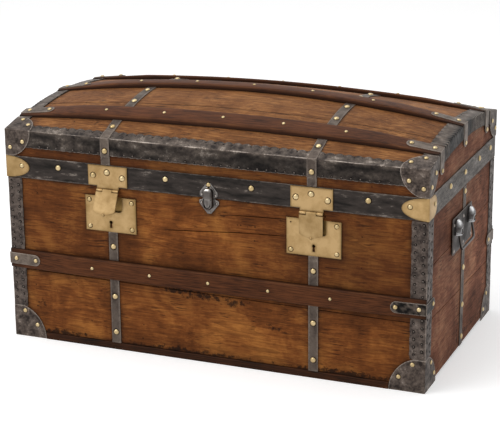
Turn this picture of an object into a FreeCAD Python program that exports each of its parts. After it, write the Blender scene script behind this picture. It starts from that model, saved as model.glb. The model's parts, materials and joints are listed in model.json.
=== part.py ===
# Dome top trunk: a wooden box bound in sheet iron, under a hinged lid that bows across and along.
# Two hasp locks close it, a dowel lines the lid up, and each end has a drop handle.
# Millimetres, +X to the right along the front, front face towards -Y, +Z up.
# The origin is the middle of the underside of the base board.
import FreeCAD, Part
import math
import os
import Sketcher
from FreeCAD import Placement, Rotation, Vector

doc = FreeCAD.newDocument("DomeTopTrunk")

# Driving dimensions
SIZES = {
    # wooden box
    "body_length": 810,
    "body_depth": 446,
    "seam_height": 315,
    "wall": 12,
    "base_thickness": 12,
    "end_wall_lift": 6,
    "rail_height": 13,
    "rail_proud": 2,
    "rail_groove": 1,
    # lid and its dome
    "seam_gap": 0.6,
    "lid_wall_height": 90,
    "end_rise": 26,
    "middle_rise": 58,
    "dome_board": 9,
    "outer_board_width": 120,
    # sheet iron
    "iron": 1.5,
    "edging_front": 28,
    "edging_end": 31,
    "base_cap_radius": 65,
    "base_cap_height": 62,
    "lid_cap_radius": 50,
    "fold_radius": 2.4,
    "band_height": 41,
    "binding_top": 17,
    "binding_front": 31,
    "end_binding_top": 26,
    "end_binding_drop": 25,
    "strap_width": 18,
    "strap_left": -191,
    "strap_right": 199,
    "lid_strap_left": -202,
    "lid_strap_right": 196,
    "back_strap": 197,
    "end_strap_y": 10,
    # slats and their clips
    "slat_width": 37.5,
    "slat_thickness": 8,
    "slat_end": 2.2,
    "slat_taper": 120,
    "slat_rounding": 2.5,
    "slat_height": 157,
    "dome_slat_y": 151,
    "clip_width": 21.5,
    "clip_length": 65,
    "clip_return": 44,
    "lid_clip_drop": 40,
    # brass corners on the band
    "brass_front": 46.5,
    "brass_length": 44,
    # locks
    "lock_left": -194,
    "lock_right": 200,
    "lock_width": 102,
    "lock_height": 67,
    "lock_bottom": 230,
    "lock_thickness": 2,
    "notch_width": 46,
    "notch_depth": 28,
    "notch_rounding": 6,
    "keyhole_radius": 2.9,
    "keyhole_height": 18.5,
    "keyhole_foot": 8,
    "keyhole_slot": 3.2,
    "case_width": 60,
    "case_height": 52,
    "case_recess": 3,
    "case_depth": 6,
    # hasps
    "hasp_shift": -3.5,
    "hasp_plate_width": 78.5,
    "hasp_plate_height": 38.5,
    "hasp_plate_gap": 1,
    "hasp_thickness": 2.2,
    "hasp_width": 44,
    "hasp_drop": 45,
    "hasp_bottom_radius": 38,
    "hasp_barrel": 3,
    "hasp_pin": 1.45,
    "running_gap": 0.05,
    "hasp_tab": 18.4,
    "hasp_axis_drop": 6,
    "staple_width": 14,
    "staple_height": 12,
    "hasp_open_angle": 25,
    # centre dowel
    "dowel_x": 2,
    "hood_plate_width": 34,
    "cup_plate_width": 38,
    "dowel_plate_height": 28,
    "dowel_plate_tip": 7,
    "hood_width": 19.4,
    "hood_height": 19.5,
    "hood_proud": 9.5,
    "hood_arch": 8,
    "hood_rounding": 5.5,
    "tongue_width": 11,
    "tongue_thickness": 7,
    "tongue_length": 16,
    "tongue_gap": 1,
    # end handles
    "handle_y": -9,
    "handle_z": 240,
    "handle_plate_width": 127,
    "handle_plate_height": 68,
    "ear_spacing": 86,
    "ear_axis_out": 2,
    "ear_collar": 11,
    "ear_collar_height": 2.6,
    "ear_neck": 9,
    "ear_radius": 10.5,
    "ear_belly": 11.5,
    "ear_crown": 15,
    "ear_slot": 5.8,
    "pivot_out": 4.5,
    "pivot_above": 10,
    "pivot_in_ear": 8,
    "bail_radius": 2.2,
    "bail_bend": 8,
    "bail_drop": 38,
    "bail_lean": 10,
    "trunnion": 1.6,
    "trunnion_length": 10,
    # back hinges
    "hinge_x": 270,
    "hinge_width": 60,
    "hinge_leaf": 30,
    "hinge_thickness": 2,
    "hinge_out": 6,
    "knuckle": 4,
    "knuckle_width": 20,
    "hinge_pin": 1.95,
    # heads of tacks and rivets
    "tack_radius": 5.6,
    "tack_height": 3.2,
    "rivet_radius": 4.4,
    "rivet_height": 2.4,
    "pin_head_radius": 3.3,
    "pin_head_height": 1.8,
    "nail_head_radius": 2.1,
    "nail_head_height": 1.2,
}

sheet = doc.addObject("Spreadsheet::Sheet", "Sizes")
for row, (alias, number) in enumerate(SIZES.items(), start=1):
    sheet.set("A%d" % row, alias)
    sheet.set("B%d" % row, str(number))
    sheet.setAlias("B%d" % row, alias)
doc.recompute()


class Size:
    """A length that carries both its number and the sheet formula that gives it."""

    def __init__(self, number, text):
        self.number = number
        self.text = text

    def __float__(self):
        return float(self.number)

    def __neg__(self):
        return Size(-self.number, "(0 - %s)" % self.text)

    def __add__(self, other):
        other = as_size(other)
        return Size(self.number + other.number, "(%s + %s)" % (self.text, other.text))

    def __radd__(self, other):
        return as_size(other) + self

    def __sub__(self, other):
        other = as_size(other)
        return Size(self.number - other.number, "(%s - %s)" % (self.text, other.text))

    def __rsub__(self, other):
        return as_size(other) - self

    def __mul__(self, factor):
        return Size(self.number * factor, "(%s * %s)" % (self.text, as_size(factor).text))

    def __truediv__(self, divisor):
        return Size(self.number / divisor, "(%s / %s)" % (self.text, divisor))


class Sheet:
    """Gives each alias of the sheet as a Size."""

    def __getattr__(self, alias):
        return Size(SIZES[alias], "Sizes." + alias)


def as_size(value):
    return value if isinstance(value, Size) else Size(value, "(%r)" % value)


s = Sheet()
half_long = s.body_length / 2
half_deep = s.body_depth / 2
front = -half_deep
back = half_deep
lid_base = s.seam_height + s.seam_gap
lid_edge = s.seam_height + s.lid_wall_height
band_top = lid_base + s.band_height
band_face = front - s.iron
slat_face = front - s.iron - s.slat_thickness
parts = []


# Building blocks
def keep(piece):
    """Marks a finished sub-part, which is written to a file under its label."""
    parts.append(piece)
    return piece


def spread(half):
    return (-half, half)


def around(middle, width):
    return (middle - width / 2, middle + width / 2)


def bind(piece, prop, value):
    piece.setExpression(prop, as_size(value).text)


def bind_place(piece, place):
    for axis, value in zip("xyz", place):
        bind(piece, "Placement.Base." + axis, value)


def box(name, x, y, z):
    piece = doc.addObject("Part::Box", name)
    for side, (low, high) in zip(("Length", "Width", "Height"), (x, y, z)):
        bind(piece, side, as_size(high) - low)
    bind_place(piece, (x[0], y[0], z[0]))
    return piece


TURN_TO = {
    "x": Rotation(Vector(0, 1, 0), 90),
    "y": Rotation(Vector(1, 0, 0), -90),
    "z": Rotation(),
}


def rod(name, axis, radius, start, length):
    piece = doc.addObject("Part::Cylinder", name)
    bind(piece, "Radius", radius)
    bind(piece, "Height", length)
    piece.Placement = Placement(Vector(), TURN_TO[axis])
    bind_place(piece, start)
    return piece


def ball(name, radius, centre):
    piece = doc.addObject("Part::Sphere", name)
    bind(piece, "Radius", radius)
    bind_place(piece, centre)
    return piece


def cone(name, low_radius, high_radius, start, height):
    piece = doc.addObject("Part::Cone", name)
    bind(piece, "Radius1", low_radius)
    bind(piece, "Radius2", high_radius)
    bind(piece, "Height", height)
    bind_place(piece, start)
    return piece


def half_egg(name, height, radius, start):
    """The upper half of an egg that is round in plan."""
    piece = doc.addObject("Part::Ellipsoid", name)
    bind(piece, "Radius1", height)
    bind(piece, "Radius2", radius)
    piece.Angle1 = 0
    bind_place(piece, start)
    return piece


def elbow(name, bend, radius, centre, turn):
    """A quarter of a ring in a plane of constant X, from straight down towards +Y, then turned."""
    piece = doc.addObject("Part::Torus", name)
    bind(piece, "Radius1", bend)
    bind(piece, "Radius2", radius)
    piece.Angle3 = 90
    piece.Placement = Placement(Vector(), Rotation(Vector(1, 0, 0), turn).multiply(TURN_TO["x"]))
    bind_place(piece, centre)
    return piece


def fuse(name, *pieces):
    piece = doc.addObject("Part::MultiFuse", name)
    piece.Shapes = list(pieces)
    piece.Refine = True
    return piece


def group(name, *pieces):
    piece = doc.addObject("Part::Compound", name)
    piece.Links = list(pieces)
    return piece


def cut(name, base, *tools):
    piece = doc.addObject("Part::Cut", name)
    piece.Base = base
    piece.Tool = tools[0] if len(tools) == 1 else fuse(name + "_tool", *tools)
    return piece


def common(name, first, second):
    piece = doc.addObject("Part::Common", name)
    piece.Base = first
    piece.Tool = second
    return piece


def mirrored(name, source, normal):
    piece = doc.addObject("Part::Mirroring", name)
    piece.Source = source
    piece.Normal = normal
    return piece


LEFT_RIGHT = Vector(1, 0, 0)
FRONT_BACK = Vector(0, 1, 0)
TO_FRONT = Vector(0, -1, 0)
TO_RIGHT = Vector(1, 0, 0)


def middle(edge):
    return edge.valueAt((edge.FirstParameter + edge.LastParameter) / 2)


def rounded(name, base, radius, wanted):
    """Rounds the edges whose middle point passes the test."""
    doc.recompute()
    piece = doc.addObject("Part::Fillet", name)
    piece.Base = base
    reach = float(radius)
    edges = enumerate(base.Shape.Edges, start=1)
    piece.Edges = [(index, reach, reach) for index, edge in edges if wanted(middle(edge))]
    return piece


def near(value, target):
    return abs(value - float(target)) < 0.01


def solid(name, shape):
    piece = doc.addObject("Part::Feature", name)
    piece.Shape = shape
    return piece


def new_body(name, place):
    body = doc.addObject("PartDesign::Body", name)
    bind_place(body, place)
    return body


def sketch(body, name, plane):
    drawing = body.newObject("Sketcher::SketchObject", name)
    support = next(item for item in body.Origin.OriginFeatures if item.Role == plane)
    drawing.AttachmentSupport = [(support, "")]
    drawing.MapMode = "FlatFace"
    return drawing


def outline(body, name, plane, corners):
    """A closed run of straight lines, each corner held by two bound dimensions."""
    drawing = sketch(body, name, plane)
    points = [Vector(float(as_size(x)), float(as_size(y)), 0) for x, y in corners]
    count = len(points)
    for index in range(count):
        drawing.addGeometry(Part.LineSegment(points[index], points[(index + 1) % count]))
    for index in range(count):
        following = (index + 1) % count
        drawing.addConstraint(Sketcher.Constraint("Coincident", index, 2, following, 1))
    for index, corner in enumerate(corners):
        for kind, value in zip(("DistanceX", "DistanceY"), corner):
            number = float(as_size(value))
            line = drawing.addConstraint(Sketcher.Constraint(kind, -1, 1, index, 1, number))
            drawing.setExpression("Constraints[%d]" % line, as_size(value).text)
    return drawing


def disc(body, name, plane, centre, radius):
    drawing = sketch(body, name, plane)
    place = Vector(float(as_size(centre[0])), float(as_size(centre[1])), 0)
    drawing.addGeometry(Part.Circle(place, Vector(0, 0, 1), float(radius)))
    for kind, value in zip(("DistanceX", "DistanceY"), centre):
        number = float(as_size(value))
        line = drawing.addConstraint(Sketcher.Constraint(kind, -1, 1, 0, 3, number))
        drawing.setExpression("Constraints[%d]" % line, as_size(value).text)
    line = drawing.addConstraint(Sketcher.Constraint("Radius", 0, float(radius)))
    drawing.setExpression("Constraints[%d]" % line, radius.text)
    return drawing


def pad(body, name, profile, length):
    feature = body.newObject("PartDesign::Pad", name)
    feature.Profile = profile
    bind(feature, "Length", length)
    return feature


def pocket(body, name, profile):
    """Cuts right through a plate, the same way that its pad was raised."""
    doc.recompute()
    before = body.Shape.Volume
    feature = body.newObject("PartDesign::Pocket", name)
    feature.Profile = profile
    feature.Type = "ThroughAll"
    feature.Reversed = True
    doc.recompute()
    if body.Shape.Volume >= before:
        raise RuntimeError(name + " cuts nothing")
    return feature


def round_corners(body, name, base, radius, wanted):
    doc.recompute()
    picks = [
        "Edge%d" % index
        for index, edge in enumerate(base.Shape.Edges, start=1)
        if wanted(edge, middle(edge))
    ]
    feature = body.newObject("PartDesign::Fillet", name)
    feature.Base = (base, picks)
    bind(feature, "Radius", radius)
    return feature


# The dome: its height is a square law across the lid, and its rise is a square law along the lid
def dome_height(x, y):
    along = 1 - (x / float(half_long)) ** 2
    across = 1 - (y / float(half_deep)) ** 2
    rise = float(s.end_rise) + float(s.middle_rise - s.end_rise) * along
    return float(lid_edge) + rise * across


def slat_out(x):
    """How thick a slat is near its right end, where it thins."""
    rate = float(s.slat_thickness - s.slat_end) / float(s.slat_taper)
    return float(s.slat_end) + rate * (float(half_long + s.iron) - x)


def slat_end_height(x, y):
    return dome_height(x, y) + float(s.iron) + slat_out(x)


def normal_of(law, x, y):
    step = 0.5
    slope_x = law(x + step, y) - law(x - step, y)
    slope_y = law(x, y + step) - law(x, y - step)
    return Vector(-slope_x, -slope_y, 2 * step).normalize()


def dome_surface(law):
    """One patch of degree two each way, which follows the law exactly and runs past the lid's edges."""
    margin = 30
    places_x = (-float(half_long) - margin, 0, float(half_long) + margin)
    places_y = (-float(half_deep) - margin, 0, float(half_deep) + margin)
    pole_mix = ((1, 0, 0), (-0.5, 2, -0.5), (0, 0, 1))
    patch = Part.BezierSurface()
    patch.increase(2, 2)
    for row in range(3):
        for column in range(3):
            height = sum(
                pole_mix[row][i] * pole_mix[column][j] * law(places_x[i], places_y[j])
                for i in range(3)
                for j in range(3)
            )
            pole = Vector(places_x[row], places_y[column], height)
            patch.setPole(row + 1, column + 1, pole)
    return patch.toShape()


DOME = dome_surface(dome_height)
SLAT_END = dome_surface(slat_end_height)
HIGH = 600.0


def span(pair):
    return tuple(sorted(float(as_size(value)) for value in pair))


def plain_block(x, y, z):
    (x0, x1), (y0, y1), (z0, z1) = span(x), span(y), span(z)
    return Part.makeBox(x1 - x0, y1 - y0, z1 - z0, Vector(x0, y0, z0))


def dome_slab(x, y, lift, thickness):
    """A sheet that lies along the dome, at a height above its boards."""
    sheet_shape = DOME.translated(Vector(0, 0, float(as_size(lift))))
    layer = sheet_shape.extrude(Vector(0, 0, float(as_size(thickness))))
    return layer.common(plain_block(x, y, (0, HIGH))).Solids[0]


def dome_block(x, y, lift, floor):
    """A block with a flat floor, whose top lies along the dome."""
    top = DOME.translated(Vector(0, 0, float(as_size(lift))))
    under = top.extrude(Vector(0, 0, -HIGH))
    return under.common(plain_block(x, y, (floor, HIGH))).Solids[0]


def fillet_edges(shape, radius, wanted):
    edges = [edge for edge in shape.Edges if wanted(middle(edge))]
    return shape.makeFillet(float(radius), edges)


def joined(*shapes):
    return shapes[0].multiFuse(list(shapes[1:])).removeSplitter().Solids[0]


def flipped(shape, normal):
    return shape.mirror(Vector(), normal)


# Wooden box
def build_box():
    inside_x = spread(half_long - s.wall)
    inside_y = spread(half_deep - s.wall)
    keep(box("base_board", inside_x, inside_y, (0, s.base_thickness)))

    core = box("rail_core", spread(half_long), (front, front + s.wall), (0, s.rail_height))
    lip_reach = half_long - s.base_cap_radius - s.rail_groove
    lip = box("rail_lip", spread(lip_reach), (front - s.rail_proud, front), (0, s.rail_height))
    blank = fuse("rail_blank", core, lip)
    nose = s.rail_proud * 0.9
    lip_face = front - s.rail_proud
    rail = keep(rounded(
        "base_rail_front", blank, nose,
        lambda p: near(p.y, lip_face) and near(p.z, s.rail_height),
    ))
    keep(mirrored("base_rail_back", rail, FRONT_BACK))

    wall_z = (s.rail_height + s.rail_groove, s.seam_height)
    blank = box("front_wall_blank", spread(half_long), (front, front + s.wall), wall_z)
    pocket_y = (front, front + s.case_recess + s.case_depth)
    pockets = [
        box("lock_pocket_" + side, around(place, s.case_width), pocket_y, case_span())
        for side, place in (("left", s.lock_left), ("right", s.lock_right))
    ]
    keep(cut("front_wall", blank, *pockets))
    keep(box("back_wall", spread(half_long), (back - s.wall, back), wall_z))
    end_z = (s.end_wall_lift, s.seam_height)
    keep(box("left_wall", (-half_long, s.wall - half_long), inside_y, end_z))
    keep(box("right_wall", (half_long - s.wall, half_long), inside_y, end_z))


def case_span():
    top = s.lock_bottom + s.lock_height
    return (top - s.case_height, top)


# Iron on the box
def build_box_iron():
    edging = new_body("edging_right", (half_long, front, s.base_cap_height))
    corners = [
        (s.iron, -s.iron), (s.iron, s.edging_end), (0, s.edging_end),
        (0, 0), (-s.edging_front, 0), (-s.edging_front, -s.iron),
    ]
    length = s.seam_height - s.seam_gap - s.base_cap_height
    profile = outline(edging, "edging_outline", "XY_Plane", corners)
    angle = pad(edging, "edging_pad", profile, length)
    round_corners(
        edging, "edging_fold", angle, s.iron * 0.9,
        lambda edge, p: near(p.x, s.iron) and near(p.y, -s.iron) and edge.Length > 100,
    )
    edging_left = mirrored("edging_left", edging, LEFT_RIGHT)
    pair = keep(group("corner_edgings_front", edging_left, edging))
    keep(mirrored("corner_edgings_back", pair, FRONT_BACK))

    reach = s.base_cap_radius + 5
    shell = box(
        "base_cap_outer", (half_long - reach, half_long + s.iron),
        (front - s.iron, front + reach), (0, s.base_cap_height),
    )
    shell = rounded(
        "base_cap_folded", shell, s.iron * 0.9,
        lambda p: near(p.x, half_long + s.iron) and near(p.y, front - s.iron),
    )
    core = box(
        "base_cap_core", (half_long - reach - 5, half_long),
        (front, front + reach + 5), (-5, s.base_cap_height + 5),
    )
    shell = cut("base_cap_shell", shell, core)
    bound = ball("base_cap_bound", s.base_cap_radius, (half_long, front, 0))
    right = common("base_cap_right", shell, bound)
    left = mirrored("base_cap_left", right, LEFT_RIGHT)
    pair = keep(group("base_caps_front", left, right))
    keep(mirrored("base_caps_back", pair, FRONT_BACK))

    strap_z = (s.rail_height, s.lock_bottom)
    front_straps = [
        box("front_strap_" + side, around(place, s.strap_width), (band_face, front), strap_z)
        for side, place in (("left", s.strap_left), ("right", s.strap_right))
    ]
    keep(group("front_straps", *front_straps))
    back_z = (s.rail_height, s.seam_height - s.seam_gap)
    back_y = (back, back + s.iron)
    back_right = box("back_strap_right", around(s.back_strap, s.strap_width), back_y, back_z)
    back_left = mirrored("back_strap_left", back_right, LEFT_RIGHT)
    keep(group("back_straps", back_left, back_right))
    end_x = (half_long, half_long + s.iron)
    end_z = (s.end_wall_lift, s.seam_height - s.seam_gap)
    end_right = box("end_strap_right", end_x, around(s.end_strap_y, s.strap_width), end_z)
    end_left = mirrored("end_strap_left", end_right, LEFT_RIGHT)
    keep(group("end_straps", end_left, end_right))


def build_box_slats():
    """Slats that thin towards their ends, and clips that follow them round the corners."""
    foot = front - s.iron
    reach = half_long + s.iron
    tip = reach + s.iron
    end_face = foot - s.slat_end
    blank = new_body("slat_blank", (0, 0, s.slat_height - s.slat_width / 2))
    corners = [
        (-reach, foot), (reach, foot), (reach, end_face), (reach - s.slat_taper, slat_face),
        (s.slat_taper - reach, slat_face), (-reach, end_face),
    ]
    pad(blank, "slat_pad", outline(blank, "slat_outline", "XY_Plane", corners), s.slat_width)
    slat = keep(rounded(
        "front_slat", blank, s.slat_rounding,
        lambda p: near(p.y, slat_face) and near(p.x, 0),
    ))
    keep(mirrored("back_slat", slat, FRONT_BACK))

    half_clip = s.clip_width / 2
    start = tip - s.clip_length
    start_face = foot - slat_out(float(start))
    stop = front + s.clip_return
    strip = new_body("clip_strip", (0, 0, s.slat_height - half_clip))
    corners = [
        (reach, end_face), (reach, stop), (tip, stop), (tip, foot - slat_out(float(tip)) - s.iron),
        (start, start_face - s.iron), (start, start_face),
    ]
    pad(strip, "clip_pad", outline(strip, "clip_outline", "XY_Plane", corners), s.clip_width)
    level = s.slat_height
    bend = box(
        "clip_bend", (start + half_clip, tip), (start_face - s.clip_width, stop - half_clip),
        around(level, s.clip_width),
    )
    face_start = (start + half_clip, start_face - s.clip_width, level)
    face_end = rod("clip_face_end", "y", half_clip, face_start, s.clip_width * 2)
    wrap_end = rod("clip_wrap_end", "x", half_clip, (reach, stop - half_clip, level), s.iron)
    right = common("slat_clip_front_right", strip, fuse("clip_bound", bend, face_end, wrap_end))
    left = mirrored("slat_clip_front_left", right, LEFT_RIGHT)
    back_right = mirrored("slat_clip_back_right", right, FRONT_BACK)
    back_left = mirrored("slat_clip_back_left", left, FRONT_BACK)
    keep(group("body_slat_clips", left, right, back_left, back_right))


# Locks and hasps
def build_lock(side, place):
    name = "lock_plate_" + side
    body = new_body(name, (place, front, s.lock_bottom))
    half = s.lock_width / 2
    notch = s.notch_width / 2
    floor = s.lock_height - s.notch_depth
    corners = [
        (-half, 0), (half, 0), (half, s.lock_height), (notch, s.lock_height),
        (notch, floor), (-notch, floor), (-notch, s.lock_height), (-half, s.lock_height),
    ]
    plate = pad(body, name + "_pad", outline(body, name + "_outline", "XZ_Plane", corners), s.lock_thickness)
    round_corners(
        body, name + "_notch", plate, s.notch_rounding,
        lambda edge, p: near(abs(p.x), notch) and near(p.z, floor) and near(edge.Length, s.lock_thickness),
    )
    centre = (0, s.keyhole_height)
    pocket(body, name + "_key_eye", disc(body, name + "_eye", "XZ_Plane", centre, s.keyhole_radius))
    slot = s.keyhole_slot / 2
    foot = slot * 1.4
    slot_corners = [
        (-foot, s.keyhole_foot), (foot, s.keyhole_foot),
        (slot, s.keyhole_height), (-slot, s.keyhole_height),
    ]
    pocket(body, name + "_key_slot", outline(body, name + "_slot", "XZ_Plane", slot_corners))
    keep(body)

    case_y = (front + s.case_recess, front + s.case_recess + s.case_depth)
    blank = box("lock_case_blank_" + side, around(place, s.case_width), case_y, case_span())
    key_z = (s.lock_bottom + s.keyhole_foot, s.lock_bottom + s.keyhole_height + s.keyhole_radius)
    key_y = (front, front + s.case_recess + s.case_depth * 0.7)
    key_way = box("key_way_" + side, around(place, s.keyhole_radius * 2), key_y, key_z)
    return cut("lock_case_" + side, blank, key_way)


hasp_axis_y = band_face - s.hasp_barrel
hasp_axis_z = s.seam_height - s.hasp_axis_drop


def build_hasp_plate(side, place):
    """T-shaped plate on the band, with two barrels below its neck for the hasp's pin."""
    plate_y = (band_face - s.hasp_thickness, band_face)
    plate_top = band_top - s.hasp_plate_gap
    plate_z = (plate_top - s.hasp_plate_height, plate_top)
    wide = box("hasp_plate_top_" + side, around(place, s.hasp_plate_width), plate_y, plate_z)
    neck = box("hasp_neck_" + side, around(place, s.hasp_width), plate_y, (hasp_axis_z, plate_z[0]))
    ends = (place - s.hasp_width / 2, hasp_axis_y, hasp_axis_z)
    barrel = rod("hasp_barrel_" + side, "x", s.hasp_barrel, ends, s.hasp_width)
    tee = fuse("hasp_tee_" + side, wide, neck, barrel)
    clear = s.hasp_barrel + 0.4
    window = box(
        "hasp_window_" + side, around(place, s.hasp_tab + 0.8),
        (hasp_axis_y - clear, front), (hasp_axis_z - clear, hasp_axis_z + clear),
    )
    bore = rod("hasp_bore_" + side, "x", s.hasp_pin + s.running_gap, ends, s.hasp_width)
    return cut("hasp_plate_" + side, tee, window, bore)


def build_hasp_pin(side, place):
    ends = (place - s.hasp_width / 2, hasp_axis_y, hasp_axis_z)
    return rod("hasp_pin_" + side, "x", s.hasp_pin, ends, s.hasp_width)


def build_hasp(side, place):
    """Brass leaf on the pin, with a staple behind it and a finger knob at its foot."""
    leaf_y = (hasp_axis_y - s.hasp_barrel, hasp_axis_y - s.hasp_barrel + s.hasp_thickness)
    foot = hasp_axis_z - s.hasp_drop
    leaf_top = hasp_axis_z - s.hasp_barrel - 0.4
    blank = box("hasp_blank_" + side, around(place, s.hasp_width), leaf_y, (foot, leaf_top))
    arc_centre = (place, leaf_y[0], foot + s.hasp_bottom_radius)
    arc = rod("hasp_arc_" + side, "y", s.hasp_bottom_radius, arc_centre, s.hasp_thickness)
    leaf = common("hasp_leaf_" + side, blank, arc)
    tab_x = around(place, s.hasp_tab)
    tab = box("hasp_tab_" + side, tab_x, leaf_y, (leaf_top - 1, hasp_axis_z))
    knuckle_start = (tab_x[0], hasp_axis_y, hasp_axis_z)
    knuckle = rod("hasp_knuckle_" + side, "x", s.hasp_barrel, knuckle_start, s.hasp_tab)
    knob = ball("hasp_knob_" + side, s.hasp_thickness * 1.4, (place, leaf_y[0] + 1.1, foot))
    staple_z = around(hasp_axis_z - s.hasp_drop * 0.6, s.staple_height)
    staple_y = (leaf_y[1], front - 0.6)
    staple = box("hasp_staple_" + side, around(place, s.staple_width), staple_y, staple_z)
    whole = fuse("hasp_whole_" + side, leaf, tab, knuckle, knob, staple)
    bore = rod("hasp_eye_" + side, "x", s.hasp_pin + s.running_gap, knuckle_start, s.hasp_tab)
    staple_hole = box(
        "hasp_staple_hole_" + side, around(place, s.staple_width + 2),
        (staple_y[0] + 1, staple_y[1] - 1.4), around(hasp_axis_z - s.hasp_drop * 0.6, s.staple_height / 2),
    )
    return cut("hasp_" + side, whole, bore, staple_hole)


def build_locks():
    cases = []
    plates = []
    pins = []
    for side, lock in (("left", s.lock_left), ("right", s.lock_right)):
        place = lock + s.hasp_shift
        cases.append(build_lock(side, lock))
        plates.append(build_hasp_plate(side, place))
        pins.append(build_hasp_pin(side, place))
        hasp = keep(build_hasp(side, place))
        if side == "left":
            turn = Rotation(Vector(-1, 0, 0), float(s.hasp_open_angle))
            axis = Vector(0, float(hasp_axis_y), float(hasp_axis_z))
            hasp.Placement = Placement(Vector(), turn, axis)
    keep(group("lock_cases", *cases))
    keep(group("hasp_plates", *plates))
    keep(group("hasp_pins", *pins))


# Centre dowel: a hood and its tongue on the lid, and a cup on the box that the tongue drops into
def build_dowel():
    hood_y = (band_face - s.iron - s.hood_proud, band_face - s.iron)
    half_hood = s.hood_width / 2
    hood_x = around(s.dowel_x, s.hood_width)

    plate = new_body("hood_plate", (s.dowel_x, band_face, lid_base))
    half = s.hood_plate_width / 2
    high = s.dowel_plate_height
    tip = s.dowel_plate_tip / 2
    shoulder = high * 0.15
    corners = [
        (-half_hood, 0), (half_hood, 0), (half, shoulder), (half, high * 0.4),
        (tip, high), (-tip, high), (-half, high * 0.4), (-half, shoulder),
    ]
    pad(plate, "hood_plate_pad", outline(plate, "hood_plate_outline", "XZ_Plane", corners), s.iron)
    hood_top = lid_base + s.hood_height
    blank = box("hood_blank", hood_x, hood_y, (lid_base, hood_top))
    arched = rounded(
        "hood_arched", blank, s.hood_arch,
        lambda p: near(p.z, hood_top) and near(abs(p.x - float(s.dowel_x)), half_hood),
    )
    hood = rounded(
        "hood_round", arched, s.hood_rounding,
        lambda p: near(p.y, hood_y[0]) and p.z > float(lid_base) + 0.1,
    )
    keep(fuse("dowel_upper", plate, hood))

    tongue_y = hood_y[1] - s.tongue_gap
    tongue = new_body("dowel_tongue", (s.dowel_x, tongue_y, lid_base))
    half = s.tongue_width / 2
    long = s.tongue_length
    corners = [
        (-half, 0), (-half, -long * 0.55), (-half * 0.7, -long * 0.85), (-half * 0.3, -long),
        (half * 0.3, -long), (half * 0.7, -long * 0.85), (half, -long * 0.55), (half, 0),
    ]
    profile = outline(tongue, "tongue_outline", "XZ_Plane", corners)
    pad(tongue, "tongue_pad", profile, s.tongue_thickness)
    keep(tongue)

    cup_top = s.seam_height - s.seam_gap
    plate = new_body("cup_plate", (s.dowel_x, front, cup_top - high))
    half = s.cup_plate_width / 2
    corners = [
        (-tip, 0), (tip, 0), (half, high * 0.68), (half, high - shoulder), (half_hood, high),
        (-half_hood, high), (-half, high - shoulder), (-half, high * 0.68),
    ]
    pad(plate, "cup_plate_pad", outline(plate, "cup_plate_outline", "XZ_Plane", corners), s.iron)
    cup_y = (hood_y[0], front - s.iron)
    heel = cup_top - s.hood_height + half_hood
    sides = box("cup_sides", hood_x, cup_y, (heel, cup_top))
    heel_start = (s.dowel_x, cup_y[0], heel)
    bottom = rod("cup_bottom", "y", half_hood, heel_start, cup_y[1] - cup_y[0])
    blank = fuse("cup_blank", sides, bottom)
    cup = rounded(
        "cup_round", blank, s.hood_rounding,
        lambda p: near(p.y, cup_y[0]) and p.z < float(cup_top) - 0.1,
    )
    well_width = s.tongue_width + s.tongue_gap * 2
    well_y = (cup_y[0] - 1, tongue_y + s.tongue_gap)
    well = box("cup_well", around(s.dowel_x, well_width), well_y, (heel, cup_top + 1))
    well_start = (s.dowel_x, well_y[0], heel)
    well_end = rod("cup_well_end", "y", well_width / 2, well_start, well_y[1] - well_y[0])
    keep(cut("dowel_lower", fuse("cup_whole", plate, cup), well, well_end))


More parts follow.
